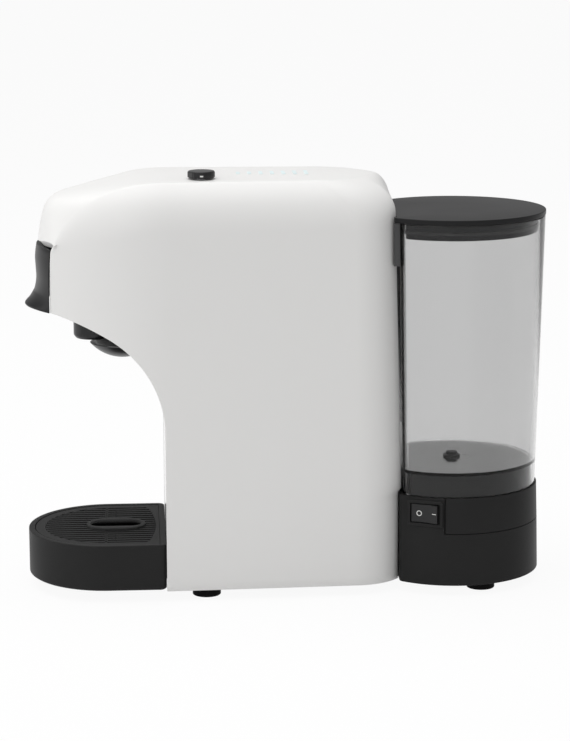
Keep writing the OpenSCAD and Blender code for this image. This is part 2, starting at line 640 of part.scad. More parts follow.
// Plan outline of the tray, moved inwards by d
function tray_outline(d) = concat(
    [for (i = [0 : 36]) let (a = 180 + 5 * i)
        [(tray_hw - d) * cos(a), tray_mid_y + (tray_nose - d) * sin(a)]],
    [for (i = [0 : 6]) let (a = 15 * i, r = max(1, tray_corner_r - d))
        [tray_hw - d - r + r * cos(a), tray_back_y - d - r + r * sin(a)]],
    [for (i = [0 : 6]) let (a = 90 + 15 * i, r = max(1, tray_corner_r - d))
        [-tray_hw + d + r + r * cos(a), tray_back_y - d - r + r * sin(a)]]);
module tray_prism(d, z1, z2) {
    translate([0, 0, z1]) linear_extrude(z2 - z1) polygon(tray_outline(d));
}
module drip_tray() {
    color("#29292b") difference() {
        tray_prism(0, tray_low_z, tray_top_z);
        tray_prism(3.6, grid_top_z - grid_t - 0.1, tray_top_z + 1);
        tray_prism(6, 16, tray_top_z + 1);
        translate([-tongue_hw - 0.5, tongue_y - 0.5, tray_low_z - 1])
            cube([2 * tongue_hw + 1, 80, 7]);
    }
}
ring_y = -103;
module stadium(len, w, z1, z2) {
    translate([0, ring_y, z1]) {
        translate([-w / 2, -(len - w) / 2, 0]) cube([w, len - w, z2 - z1]);
        for (s = [-1, 1]) translate([0, s * (len - w) / 2, 0]) cylinder(r = w / 2, h = z2 - z1);
    }
}
slat_w = 2.3;
slat_count = 8;
module drip_grid() {
    color("#303032") difference() {
        union() {
            tray_prism(3.9, grid_top_z - grid_t, grid_top_z);
            stadium(36, 28, grid_top_z - 0.5, grid_top_z + 1.2);
        }
        difference() {
            intersection() {
                translate([0, 0, grid_top_z - 5]) linear_extrude(10) intersection() {
                    polygon(tray_outline(9.8));
                    translate([0, -260]) circle(r = 179.5, $fn = 180);
                }
                union() for (i = [-slat_count : slat_count - 1])
                    translate([(i + 0.5) * slat_pitch - slat_w / 2, -160, 20]) cube([slat_w, 100, 30]);
            }
            stadium(36, 28, 20, 50);
            translate([-60, ring_y - 7, 20]) cube([120, 2.4, 30]);
        }
        stadium(30, 12, 20, 50);
    }
}

// ---------- Capsule drawer ----------
drawer_z = [170.2, 171.6, 174.8, 177.8, 180.8, 186.8, 192.8, 198.8, 203.5, 207.2];
drawer_bulge = [13.6, 15.1, 12.4, 10.5, 9.1, 8.1, 8.3, 8.6, 8.2, 7.6];
drawer_hw = 33.5;
drawer_edge_y = -139.6;
// How far the side edges lean back, as the casing's front edge does
function drawer_back(z) = 0.8 * pow((z - drawer_z[0]) / 34, 3) + 1.7 * pow(max(0, z - 204) / 6, 2);
function drawer_pt(s, j) = let (back = drawer_back(drawer_z[j]))
    [drawer_hw * s, drawer_edge_y + back - (drawer_bulge[j] + back) * (1 - s * s), drawer_z[j]];
module drawer_front() {
    grid = [for (i = [-8 : 8]) [for (j = [0 : 9]) drawer_pt(i / 8, j)]];
    inner = [for (i = [-8 : 8]) [for (j = [0 : 9])
        let (back = drawer_back(drawer_z[j]))
        [drawer_hw * 0.98 * i / 8, drawer_edge_y + back + 0.3 - (4 + back) * (1 - i * i / 64), drawer_z[j]]]];
    color("#2a2a2c") skin(grid, inner);
}
cup_rim_z = 204.2;
cup_low_z = 174.5;
cup_t = 1.7;
module drawer_carrier() {
    color("#343436") difference() {
        union() {
            translate([-30.7, -130, 198]) cube([61.4, 52, 5]);
            translate([-27, -137.2, 190]) cube([54, 7.4, 13]);
            translate([-13, -142.2, 190]) cube([26, 8, 13]);
            for (x = [-27, 23]) translate([x, -137.2, 176]) cube([4, 3, 24]);
        }
        translate([neck_at[0], neck_at[1], 190]) cylinder(r = capsule_r + cup_t + 0.1, h = 20);
    }
}
module capsule_cup() {
    color("silver") translate([neck_at[0], neck_at[1], 0]) rotate_extrude($fn = 96) polygon([
        [2.5, cup_low_z], [14, cup_low_z], [capsule_r + cup_t, cup_low_z + 8],
        [capsule_r + cup_t, cup_rim_z - 1.15], [21.6, cup_rim_z - 1.15], [21.6, cup_rim_z],
        [capsule_r, cup_rim_z], [capsule_r, cup_low_z + cup_t + 8], [12.6, cup_low_z + cup_t],
        [2.5, cup_low_z + cup_t]]);
}
module drawer_rails() {
    rail_l = drawer_travel + 4;
    color("dimgray") for (m = [0, 1]) mirror([m, 0, 0]) difference() {
        translate([29, -130, 195.3]) cube([3.98, rail_l, 10.4]);
        translate([28, -131, 197.7]) cube([3.1, rail_l + 2, 5.6]);
    }
}

// ---------- Coffee outlet ----------
// The space under the roof, in front of the front wall
module below_roof() {
    side_profile(concat(arch_line(0), [[front_y, 0], [nose_y - 20, 0], [nose_y - 20, roof_at(nose_y)]]), 40);
}
module collector() {
    color("#3a3a3c") difference() {
        translate([-12, -121, 168.6]) cube([24, 37, 5]);
        translate([-10.5, -119.5, 170.2]) cube([21, 34, 6]);
        translate([0, spout_y, 160]) cylinder(r = 3.1, h = 20);
    }
}
spout_r = 11;
spout_low_z = 149.6;
module spout() {
    color("#1f1f21") difference() {
        union() {
            intersection() {
                translate([0, spout_y, spout_low_z + 2]) cylinder(r = spout_r, h = 30);
                below_roof();
            }
            translate([0, spout_y, spout_low_z]) cylinder(r1 = spout_r - 1.5, r2 = spout_r, h = 2 + eps);
            translate([0, spout_y, 158]) cylinder(r = 7, h = 168.55 - 158);
        }
        translate([0, spout_y, 140]) cylinder(r = 3, h = 40);
    }
}
dish_y = -97;
dish_rim_z = 146.7;
dish_r = 26;                 // radius of the sphere that the dish is cut from
dish_low_z = 137.8;
module drip_dish() {
    color("#1f1f21") difference() {
        intersection() {
            translate([0, dish_y, dish_low_z + dish_r]) sphere(r = dish_r, $fn = 72);
            translate([-40, dish_y - 40, dish_low_z - 5]) cube([80, 80, dish_rim_z - dish_low_z + 5]);
            below_roof();
        }
        translate([0, dish_y, dish_low_z + dish_r]) sphere(r = dish_r - 1.8, $fn = 72);
    }
}

// ---------- Brew unit ----------
module brew_frame() {
    color("silver") difference() {
        union() {
            for (x = [-35.4, 33]) translate([x, -118, 193]) cube([2.4, -24.1 + 118, 30]);
            translate([-35.4, -118, 220.6]) cube([70.8, 48, 2.4]);
        }
        translate([neck_at[0], neck_at[1], 215]) cylinder(r = 4.3, h = 20);
    }
}
head_top_z = 220.5;
piston_r = 19;
piston_low_z = 206.7;
module brew_head() {
    color("darkgray") translate([neck_at[0], neck_at[1], 0]) difference() {
        union() {
            translate([0, 0, 208.5]) cylinder(r = 22, h = head_top_z - 208.5);
            translate([0, 0, head_top_z - 1]) cylinder(r = 4.2, h = 8);
        }
        translate([0, 0, 208]) cylinder(r = piston_r + 0.05, h = 10);
        translate([0, 0, 210]) cylinder(r = 1.5, h = 30);
    }
}
module brew_piston() {
    color("lightgray") translate([neck_at[0], neck_at[1], 0]) difference() {
        union() {
            translate([0, 0, piston_low_z]) cylinder(r = piston_r, h = 6.3);
            for (a = [0 : 60 : 300]) rotate([0, 0, a]) translate([8, 0, piston_low_z - 1.9])
                cylinder(r1 = 0.3, r2 = 1.2, h = 2, $fn = 24);
        }
        difference() {
            translate([0, 0, 209.4]) cylinder(r = piston_r + 1, h = 1.6);
            translate([0, 0, 209]) cylinder(r = piston_r - 1.5, h = 3);
        }
        translate([0, 0, 200]) cylinder(r = 1.2, h = 20);
    }
}
module piston_seal() {
    color("firebrick") translate([neck_at[0], neck_at[1], 209.45]) difference() {
        cylinder(r = piston_r + 0.02, h = 1.5);
        translate([0, 0, -1]) cylinder(r = piston_r - 1.45, h = 4);
    }
}
module piston_spring() {
    turns = 3;
    color("silver") translate([neck_at[0], neck_at[1], 213.7]) sweep([for (i = [0 : turns * 16])
        [13 * cos(i * 22.5), 13 * sin(i * 22.5), 3.5 * i / (turns * 16)]], 0.5, 6);
}

// ---------- Selector and lights ----------
knob_z = top_z + 0.55;
module selector_knob() {
    color("#161618") translate([knob_at[0], knob_at[1], 0]) difference() {
        union() {
            translate([0, 0, knob_z]) cylinder(r = knob_d / 2, h = knob_h - 0.6);
            translate([0, 0, knob_z + knob_h - 0.6]) cylinder(r1 = knob_d / 2, r2 = knob_d / 2 - 0.6, h = 0.6);
        }
        translate([0, 0, knob_z - 1]) cylinder(r = shaft_r, h = knob_h);
    }
}
module selector_shaft() {
    color("silver") translate([knob_at[0], knob_at[1], 0]) difference() {
        translate([0, 0, 241.6]) cylinder(r = shaft_r, h = knob_z + knob_h - 1 - 241.6);
        translate([0, 0, 240]) cylinder(r = 1.25, h = 9);
    }
}
module selector_plunger() {
    color("ivory") translate([knob_at[0], knob_at[1], 240]) cylinder(r = 1.2, h = 8.8);
}
board_z = 235;
module selector_encoder() {
    color("dimgray") translate([knob_at[0], knob_at[1], 0]) difference() {
        translate([-6, -6, board_z + 1.6]) cube([12, 12, 7]);
        translate([0, 0, 240.8]) cylinder(r = shaft_r + 0.05, h = 10);
        translate([0, 0, 239.2]) cylinder(r = 1.3, h = 10);
    }
}
light_x = 1.3;
light_y0 = -27.8;
light_step = 6.7;
module light_bars() {
    color("#bfe6e8") for (i = [0 : light_count - 1])
        translate([light_x - 1.5 - 0.45 * i, light_y0 + light_step * i - 1, top_z + eps])
            cube([3 + 0.9 * i, 2, 0.25]);
}
module control_board() {
    color("darkgreen") {
        difference() {
            translate([-12, -60, board_z]) cube([45, 80, 1.6]);
            for (p = [[-8, -56], [-8, 16], [29, 16]]) translate([p[0], p[1], board_z - 1])
                cylinder(r = 1.6, h = 4);
        }
        for (i = [0 : light_count - 1])
            translate([light_x - 1.5, light_y0 + light_step * i - 1.5, board_z + 1.6 - eps]) cube([3, 3, 2]);
    }
}

// ---------- Water path and electrics ----------
pump_z = 40;
pump_y0 = -20;
module water_pump() {
    color("slategray") {
        translate([-19, -6, pump_z - 19]) cube([38, 34, 38]);
        translate([0, pump_y0, pump_z]) rotate([-90, 0, 0]) cylinder(r = 3.2, h = 8);
        translate([0, -14, pump_z]) rotate([-90, 0, 0]) cylinder(r = 9, h = 9);
        translate([0, 27, pump_z]) rotate([-90, 0, 0]) cylinder(r = 9, h = 12);
        translate([0, 38, pump_z]) rotate([-90, 0, 0]) cylinder(r = 3.2, h = 8);
    }
}
module pump_mounts() {
    color("#222222") for (y = [-13, 31]) difference() {
        translate([-14, y, plate_z]) cube([28, 6, pump_z + 12 - plate_z]);
        translate([0, y - 1, pump_z]) rotate([-90, 0, 0]) cylinder(r = 9.05, h = 8);
    }
}
block_z = shelf_z + 3;
module thermoblock() {
    color("gainsboro") {
        translate([-26, -62, block_z]) cube([52, 34, 32]);
        for (x = [-24 : 6 : 24]) translate([x - 1, -62, block_z + 32 - eps]) cube([2, 34, 5]);
        translate([-33, -45, block_z + 16]) rotate([0, 90, 0]) cylinder(r = 3, h = 8);
        translate([15, -45, block_z + 30]) cylinder(r = 3, h = 15);
    }
}
module thermostat() {
    color("silver") translate([-9, -40, block_z + 37]) cylinder(r = 6, h = 6);
}
meter_at = [17, -14, 118];
module flow_meter() {
    color("ghostwhite") {
        translate([meter_at[0], chassis_y + chassis_t, meter_at[2]]) rotate([-90, 0, 0])
            cylinder(r = 13, h = 14);
        translate([meter_at[0], meter_at[1], meter_at[2] - 21]) cylinder(r = 2.6, h = 42);
    }
}
module main_board() {
    y = -13;
    color("darkgreen") {
        translate([-33, y, 100]) cube([32, 1.6, 90]);
        for (x = [-30, -4], z = [104, 186]) translate([x, chassis_y + chassis_t, z]) rotate([-90, 0, 0])
            cylinder(r = 2, h = y - chassis_y - chassis_t + eps);
        translate([-30, y + 1.5, 150]) cube([20, 16, 24]);
        translate([-28, y + 1.5, 110]) cube([12, 14, 16]);
        translate([-8, y + 1.5, 120]) rotate([-90, 0, 0]) cylinder(r = 5, h = 16);
    }
}
inlet_path = [
    [0, tank_y, 45.9], [0, tank_y, 43], [0, 98, 34], [2, 85, 25], [6, 68, 24.5], [15, 54, 28],
    [29, 42, 42], [31, 15, 68], [26, -4, 84], [18, -13, 91], [17, -14, 95], [17, -14, 96.9]];
suction_path = [
    [17, -14, 139.1], [17, -14, 141], [17, -13, 147], [15, 0, 155], [10, 24, 148], [4, 46, 112],
    [0, 55, 74], [0, 55, 52], [0, 52, 42], [0, 48, 40], [0, 46.1, 40]];
pressure_path = [
    [0, -20.1, 40], [0, -22, 40], [0, -30, 40], [-5, -42, 46], [-22, -50, 68], [-39, -48, 98],
    [-42, -45, 125], [-41, -45, 142], [-38, -45, 147], [-35, -45, 147], [-33.1, -45, 147]];
hot_path = [
    [15, -45, 176.1], [15, -45, 178], [15, -46, 186], [13, -52, 202], [8, -64, 222], [4, -78, 231],
    [1, -90, 234.5], [0, -98, 233], [0, -100, 230], [0, -100, 227.6]];
// A smooth hose with a straight stretch at each end
function hose_line(p) = let (n = len(p) - 1)
    concat([p[0]], spline([for (i = [1 : n - 1]) p[i]], 4), [p[n]]);
module inlet_hose() { color("gainsboro") sweep(hose_line(inlet_path), 3.2); }
module suction_hose() { color("gainsboro") sweep(hose_line(suction_path), 3.2); }
module pressure_hose() { color("gainsboro") sweep(hose_line(pressure_path), 3); }
module hot_hose() { color("white") sweep(hose_line(hot_path), 2.4); }

casing_right();
casing_left();
hood();
front_wall();
rear_panel();
base_plate();
rubber_feet();
base_screws();
chassis();
tank_base();
tank_collar();
coupling_socket();
coupling_seal();
coupling_screws();
cord_gland();
switch_frame();
switch_rocker();
tank();
tank_valve();
valve_poppet();
valve_spring();
tank_clip();
tank_lid();
lid_seal();
drip_tray();
drip_grid();
drawer_front();
drawer_carrier();
capsule_cup();
drawer_rails();
collector();
spout();
drip_dish();
brew_frame();
brew_head();
brew_piston();
piston_seal();
piston_spring();
selector_knob();
selector_shaft();
selector_plunger();
selector_encoder();
light_bars();
control_board();
water_pump();
pump_mounts();
thermoblock();
thermostat();
flow_meter();
main_board();
inlet_hose();
suction_hose();
pressure_hose();
hot_hose();
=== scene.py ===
import bpy
import bmesh
import numpy as np
from math import asin, atan2, cos, hypot, pi, radians, sin, sqrt, tan
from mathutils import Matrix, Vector


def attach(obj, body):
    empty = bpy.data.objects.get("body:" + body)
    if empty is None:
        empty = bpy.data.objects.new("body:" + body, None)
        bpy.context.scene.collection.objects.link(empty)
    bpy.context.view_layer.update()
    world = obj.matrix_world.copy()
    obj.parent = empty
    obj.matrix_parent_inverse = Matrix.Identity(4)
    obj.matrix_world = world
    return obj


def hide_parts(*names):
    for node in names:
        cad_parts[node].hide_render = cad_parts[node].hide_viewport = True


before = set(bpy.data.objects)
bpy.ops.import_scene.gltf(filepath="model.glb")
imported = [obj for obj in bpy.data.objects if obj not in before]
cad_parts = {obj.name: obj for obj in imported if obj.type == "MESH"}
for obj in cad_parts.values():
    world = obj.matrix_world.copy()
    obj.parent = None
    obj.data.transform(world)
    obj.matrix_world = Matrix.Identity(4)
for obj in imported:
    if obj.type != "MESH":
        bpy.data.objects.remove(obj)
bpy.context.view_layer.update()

# ---------- Casing halves ----------
# Two white shells, injection moulded in ABS with a 2.4 mm wall and a fine satin grain. They snap together
# along the middle of the rear face, carry the hood and open forwards in an arch over the cup.
MM = 0.001


def link(node_tree, source, target):
    node_tree.links.new(source, target)


def feed(tree, node, feeds):
    """Sets inputs of a node, keyed by name or number: a socket is linked in, and a plain value is set."""
    for place, value in feeds.items():
        if isinstance(value, bpy.types.NodeSocket):
            link(tree, value, node.inputs[place])
        else:
            node.inputs[place].default_value = value


def step(tree, kind, feeds, **settings):
    """One new node of a tree, with its settings and inputs; gives back its first output."""
    node = tree.nodes.new(kind)
    for key, value in settings.items():
        setattr(node, key, value)
    feed(tree, node, feeds)
    return node.outputs[0]


def moulded(name, colour, roughness, grain=2600, grain_depth=0.00002, cloud=30, shade=0.03, metallic=0.0,
            coat=0.0, shine=0.5):
    """A moulded, cast or drawn finish: its colour and gloss drift a little, and a fine grain lies over it."""
    material = bpy.data.materials.new(name)
    material.use_nodes = True
    tree = material.node_tree
    place = tree.nodes.new("ShaderNodeTexCoord").outputs["Object"]
    drift = step(tree, "ShaderNodeTexNoise", {"Vector": place, "Scale": cloud, "Detail": 3})
    tint = tree.nodes.new("ShaderNodeMix")
    tint.data_type = "RGBA"
    feed(tree, tint, {"Factor": drift, "A": (*[c * (1 - shade) for c in colour], 1),
                      "B": (*[min(1, c * (1 + shade)) for c in colour], 1)})
    gloss = step(tree, "ShaderNodeMapRange", {
        "Value": drift, "To Min": max(0.02, roughness - 0.04), "To Max": roughness + 0.04})
    grains = step(tree, "ShaderNodeTexNoise", {"Vector": place, "Scale": grain, "Detail": 2})
    relief = step(tree, "ShaderNodeBump", {"Height": grains, "Strength": 0.35, "Distance": grain_depth})
    feed(tree, tree.nodes["Principled BSDF"], {
        "Base Color": tint.outputs["Result"], "Roughness": gloss, "Normal": relief, "Metallic": metallic,
        "Specular IOR Level": shine, "Coat Weight": coat, "Coat Roughness": 0.12})
    return material


def new_object(name, data):
    made = bpy.data.objects.new(name, data)
    bpy.context.scene.collection.objects.link(made)
    return made


def mesh_piece(name, points, faces, material, smooth_below=35):
    """A mesh from points in millimetres, with doubles merged, faces outwards and sharp edges kept."""
    mesh = bpy.data.meshes.new(name)
    mesh.from_pydata([Vector(p) * MM for p in points], [], faces)
    work = bmesh.new()
    work.from_mesh(mesh)
    bmesh.ops.remove_doubles(work, verts=work.verts, dist=2e-6)
    bmesh.ops.recalc_face_normals(work, faces=work.faces)
    work.to_mesh(mesh)
    work.free()
    mesh.shade_smooth()
    mesh.set_sharp_from_angle(angle=radians(smooth_below))
    mesh.materials.append(material)
    return new_object(name, mesh)


def fit_piece(piece, body, slot, *nodes):
    """Fixes a finished piece to its CAD body in place of the plain solids it stands for."""
    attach(piece, body)
    if nodes:
        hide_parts(*nodes)
    return piece


def strip_faces(columns, rows, closed_columns=False, closed_rows=False):
    """Quads between neighbouring columns of points."""
    faces = []
    for i in range(columns if closed_columns else columns - 1):
        for j in range(rows if closed_rows else rows - 1):
            a, b = i * rows + j, i * rows + (j + 1) % rows
            c, d = (i + 1) % columns * rows + j, (i + 1) % columns * rows + (j + 1) % rows
            faces.append((a, b, d, c))
    return faces


def soften(piece, width, angle=40):
    bevel = piece.modifiers.new("softened edges", "BEVEL")
    bevel.width = width * MM
    bevel.segments = 2
    bevel.limit_method = "ANGLE"
    bevel.angle_limit = radians(angle)
    bevel.use_clamp_overlap = True


def spread(low, high, count):
    return [low + (high - low) * i / count for i in range(count + 1)]


def between(table, place):
    """The value at a place in a table, on the straight line between its entries."""
    i = min(int(place), len(table) - 2)
    return table[i] + (table[i + 1] - table[i]) * (place - i)


def thicken(piece, outward, thickness, edge):
    """Turns a skin's faces towards its outer side, and gives it a wall and softened edges."""
    if sum(p.normal.dot(outward) * p.area for p in piece.data.polygons) < 0:
        piece.data.flip_normals()
    thick = piece.modifiers.new("wall", "SOLIDIFY")
    thick.thickness = thickness * MM
    thick.offset = -1
    soften(piece, edge, 50)


side_half_width, wall, front_y, taper_y, arch_r, arch_z = 51.6, 2.4, -73.1, -72.5, 64.0, 101.2
base_z, top_z, crease_z, crease_y, crease_length, crease_x = 6.3, 247.0, 246.3, 15.0, 39.0, 33.5
corner_y, corner_r, corner_turn = 38.0, 32.0, radians(57.5)
side_taper, nose_pinch, nose_pinch_length, crease_inset = 4.6 / 110, 3.6, 31, 13.3
rear_y, rear_lean_top, rear_lean, rear_foot_y, rear_step_z = 62.8, 222, tan(radians(1.45)), 65.0, 60
shoulder_drop, low_shoulder_z, low_shoulder_fade = 28, 205, 36
nose_y, nose_start, nose_length, nose_drop = -139.0, -74.0, 63.5, 46.0
nose_turns, nose_edge_turn = [78, 70, 62, 54, 45, 36, 27, 18, 9, 0], radians(78)
side_share, rear_share, rear_reach = 0.54, 0.84, 0.72
roof_turn, roof_bow, roof_end = radians(61), 1.26, 170.4
roof_y = front_y - arch_r + arch_r * cos(roof_turn)
roof_z = arch_z + arch_r * sin(roof_turn)


def half_width(y):
    """Half the casing's width: the sides draw in a little rearwards, and in a curve towards the nose."""
    width = side_half_width - side_taper * max(0, y - taper_y)
    return width - nose_pinch * ((taper_y - y) / nose_pinch_length) ** 2.14 if y < taper_y else width


def rear_face(z):
    """Depth of the rear face, which leans back and has a step over the tank's collar."""
    return rear_foot_y if z < rear_step_z else rear_y + (rear_lean_top - min(z, rear_lean_top)) * rear_lean


corner_length = corner_r * corner_turn
rear_half_width = half_width(corner_y) - corner_r * (1 - cos(corner_turn))


def casing_plan(s, z):
    """A point of the casing's outline: s is Y up to the rear corner, then runs on round it to the middle."""
    if s <= corner_y:
        return half_width(s), s
    turn = (s - corner_y) / corner_r
    stretch = (rear_face(z) - corner_y) / (corner_r * sin(corner_turn))
    if s <= corner_y + corner_length:
        return half_width(corner_y) - corner_r * (1 - cos(turn)), corner_y + corner_r * sin(turn) * stretch
    return rear_half_width - (s - corner_y - corner_length), rear_face(z)


def nose_crease(b):
    y = nose_start - nose_length * sin(b)
    k = sin(b) / sin(nose_edge_turn)
    return half_width(y) - crease_inset * (1 - k * k) - 0.6, y, crease_z - nose_drop * (1 - cos(b))


def side_crease(y):
    x = half_width(nose_start) - (crease_inset + 0.6)
    return x + (crease_x - x) * (y - nose_start) / (crease_y - nose_start), y, crease_z


def rear_crease(t):
    return crease_x * max(0, 1 - t * t) ** 0.75, crease_y + crease_length * t, crease_z


def roof_at(y):
    t = (roof_y - y) / (roof_y - nose_y)
    return roof_z + (roof_end - roof_z) * t + 4 * roof_bow * t * (1 - t)


def arch_point(turn):
    return front_y - arch_r + arch_r * cos(turn), arch_z + arch_r * sin(turn)


def casing_columns():
    """For each: s and z at the foot, s at the shoulder, crease point, share of a quarter turn, late bend."""
    columns = []
    foot_ys = [nose_y, -128, -117, roof_y]
    arch_turns = [61, 54, 46, 37, 28, 19, 9.5]
    for k in spread(0, 9, 54):
        crease = nose_crease(radians(between(nose_turns, k)))
        if k <= 3:
            foot = between(foot_ys, k), roof_at(between(foot_ys, k))
        else:
            foot = arch_point(radians(between(arch_turns, k - 3)))
        shoulder_s = crease[1] if k >= 1 else between([nose_y + 0.8, nose_crease(radians(70))[1]], k)
        columns.append((*foot, shoulder_s, crease, side_share, max(1, 3 - k / 3)))
    for k in spread(0, 1, 6)[1:]:
        crease = side_crease(-74 + 8 * k)
        columns.append((*arch_point(radians(9.5 * (1 - k))), crease[1], crease, side_share, 1))
    foot_y, foot_z = [front_y] * 3 + [-40, 0, corner_y], [arch_z, 55] + [base_z] * 4
    shoulder, crease_ys = [-66, -58, -50, -30, 2, corner_y], [-66, -58, -50, -30, -4, crease_y]
    for k in spread(0, 5, 30)[1:]:
        columns.append((between(foot_y, k), between(foot_z, k), between(shoulder, k),
                        side_crease(between(crease_ys, k)), side_share, 1))
    for k in spread(0, 1, 28)[1:]:
        s = corner_y + corner_length * k
        columns.append((s, base_z, s, rear_crease(rear_reach * k), between([side_share, rear_share], k), 1))
    for x in spread(rear_half_width, 0.1, 16)[1:]:
        s = corner_y + corner_length + rear_half_width - x
        columns.append((s, base_z, s, rear_crease(1 - (1 - rear_reach) * x / rear_half_width), rear_share, 1))
    return columns


def casing_side(flip):
    wall_rows = spread(0, 0.2415, 10) + spread(0.2515, 0.95, 24)
    points, columns = [], casing_columns()
    for foot_s, foot_z, shoulder_s, crease, share, bend in columns:
        fade = max(0.2, min(1, (crease[2] - low_shoulder_z) / low_shoulder_fade))
        low = crease[2] - shoulder_drop * (1 + side_share - share) * fade
        quarter = pi / 2 * share
        for v in wall_rows:
            z = foot_z + (low - foot_z) * v
            points.append((*casing_plan(foot_s + (shoulder_s - foot_s) * v ** bend, z), z))
        x, y = casing_plan(shoulder_s, low)
        for v in spread(0, 1, 22):
            a = quarter * v
            h = (1 - cos(a)) / (1 - cos(quarter))
            points.append((x + (crease[0] - x) * h, y + (crease[1] - y) * h,
                           low + (crease[2] - low) * sin(a) / sin(quarter)))
    rows = len(wall_rows) + 23
    faces = strip_faces(len(columns), rows)
    if flip:
        points = [(-x, y, z) for x, y, z in points]
    return points, faces


casing_white = moulded("casing_white", (0.80, 0.795, 0.785), 0.42, grain=1900, grain_depth=0.000012, cloud=9,
                       shade=0.006)
for side, flip in (("right", False), ("left", True)):
    points, faces = casing_side(flip)
    shell = mesh_piece(f"casing_{side}_shell", points, faces, casing_white, smooth_below=50)
    thicken(shell, Vector((-1 if flip else 1, 0, 0)), wall, 0.35)
    fit_piece(shell, "body", "casing_white", f"casing_{side}")

# ---------- Hood ----------
# The white top of the casing, moulded in the same ABS, 2.2 mm thick. It drops down at the front to the
# drawer, has a round rear end and snaps into the shells with a fine seam all round.
hood_gap, lip_drop, front_arch, front_arch_fade = 0.15, 2.1, 3.2, 1.3
hood_middle = [(-146.1, 209.6), (-145.1, 217.5), (-143.5, 225), (-140.6, 231.5), (-135.4, 235.8),
               (-126, 238.6), (-114, 241.2), (-101, 243.7), (-88, 245.8), (nose_start, top_z)]
knob_place = (24.0, -50.0)


def smooth_between(table, place):
    """The point at a place in a list of points, on a smooth curve through them."""
    i = min(int(place), len(table) - 2)
    t = place - i
    b, c = np.array(table[i], float), np.array(table[i + 1], float)
    a = np.array(table[i - 1], float) if i else 2 * b - c
    d = np.array(table[i + 2], float) if i + 2 < len(table) else 2 * c - b
    return 0.5 * (2 * b + (c - a) * t + (2 * a - 5 * b + 4 * c - d) * t * t
                  + (3 * b - a - 3 * c + d) * t ** 3)


def crease_y_at(x):
    return crease_y + crease_length * sqrt(max(0, 1 - abs(x / crease_x) ** (4 / 3)))


end_x, end_y, _ = rear_crease(rear_reach)
end_bulge = crease_y + crease_length - end_y


def hood_station(crease, middle, k):
    row = []
    for s in [sin(a) for a in spread(pi / 2, -pi / 2, 48)]:
        g = 1 - abs(s) ** 2.5
        along = k * (crease_y_at(end_x * abs(s)) - end_y) / end_bulge + (1 - k) * g
        row.append(((crease[0] - hood_gap) * s, crease[1] + (middle[0] - crease[1]) * along,
                    crease[2] + (middle[1] - crease[2]) * g))
    return row


def edge_lift(x, k):
    """How far the hood's front edge arches up on either side of its middle, less and less towards the top."""
    u = min(1, abs(x) / nose_half)
    return front_arch * u * u * (1 - u ** 8) * max(0, 1 - k / front_arch_fade) ** 2


hood_rows = []
nose_edge = hood_station(nose_crease(nose_edge_turn), hood_middle[0], 0)
nose_half = nose_edge[0][0]
for depth, drop in ((2.4, lip_drop), (2.0, 1.5), (1.4, 0.9), (0.5, 0.25)):
    hood_rows.append([(x * (1 - depth / 34), y + depth, z - drop + edge_lift(x, 0) * (1 - drop / lip_drop))
                      for x, y, z in nose_edge])
for k in spread(0, 9, 72):
    row = hood_station(nose_crease(radians(between(nose_turns, k))), smooth_between(hood_middle, k), 0)
    hood_rows.append([(x, y, z + edge_lift(x, k)) for x, y, z in row])
for y in spread(nose_start, -4, 24)[1:]:
    hood_rows.append(hood_station(side_crease(y), (y, top_z), 0))
for k in spread(0, 1, 20):
    x, y, z = rear_crease(rear_reach * k)
    hood_rows.append(hood_station((x, y - hood_gap, z),
                                  (y - hood_gap + k * end_bulge, top_z - 0.7 * k ** 4), k))
hood = mesh_piece("hood_top", [p for row in hood_rows for p in row], strip_faces(len(hood_rows), 49),
                  casing_white, smooth_below=50)
thicken(hood, Vector((0, 0, 1)), 2.2, 0.3)
fit_piece(hood, "body", "casing_white", "hood")

# ---------- Front wall ----------
# The white inner face of the arch, one bent ABS panel between the two shells that runs from the roof over the
# cup down to the drip tray. It is clipped in from behind.
def arch_line(depth):
    line = [(y, roof_at(y) + depth) for y in spread(nose_y + 0.5, roof_y, 12)[:-1]]
    for a in spread(roof_turn, 0, 40):
        line.append((front_y - arch_r + (arch_r + depth) * cos(a), arch_z + (arch_r + depth) * sin(a)))
    return line + [(front_y + depth, z) for z in spread(arch_z, 13, 6)[1:]]


polished_white = moulded("polished_white", (0.89, 0.89, 0.88), 0.3, grain=1900, grain_depth=0.000004, cloud=9,
                         shade=0.006, coat=1.0)
points, outer, inner = [], arch_line(0.1), arch_line(wall)
for (y0, z0), (y1, z1) in zip(outer, inner):
    x0, x1 = half_width(y0) - wall - 0.6, half_width(y1) - wall - 0.6
    points += [(-x0, y0, z0), (-x0 / 3, y0, z0), (x0 / 3, y0, z0), (x0, y0, z0), (x1, y1, z1), (-x1, y1, z1)]
faces = strip_faces(len(outer), 6, closed_rows=True)
last = 6 * (len(outer) - 1)
faces += [tuple(range(5, -1, -1)), tuple(last + k for k in range(6))]
arch_panel = mesh_piece("front_wall_panel", points, faces, polished_white)
soften(arch_panel, 0.3, 60)
fit_piece(arch_panel, "body", "casing_white", "front_wall")

# ---------- Rear panel, base plate, screws and feet ----------
# A dark panel behind the tank is painted shade: its dark finish stands in for the shade in the narrow gap
# between the body and the tank. The base plate is screwed into the chassis from below, and four soft rubber
# feet are pushed into the base plate and the tank base by their stems.
dark_satin = moulded("dark_satin_plastic", (0.0235,) * 3, 0.42, cloud=22, shade=0.12, shine=0.06)
foot_rubber = moulded("foot_rubber", (0.006,) * 3, 0.75, grain=1500, grain_depth=0.00006, cloud=40,
                      shade=0.2, shine=0.1)
zinc_steel = moulded("zinc_plated_steel", (0.60, 0.60, 0.61), 0.32, grain=900, cloud=60, shade=0.05,
                     metallic=1.0)


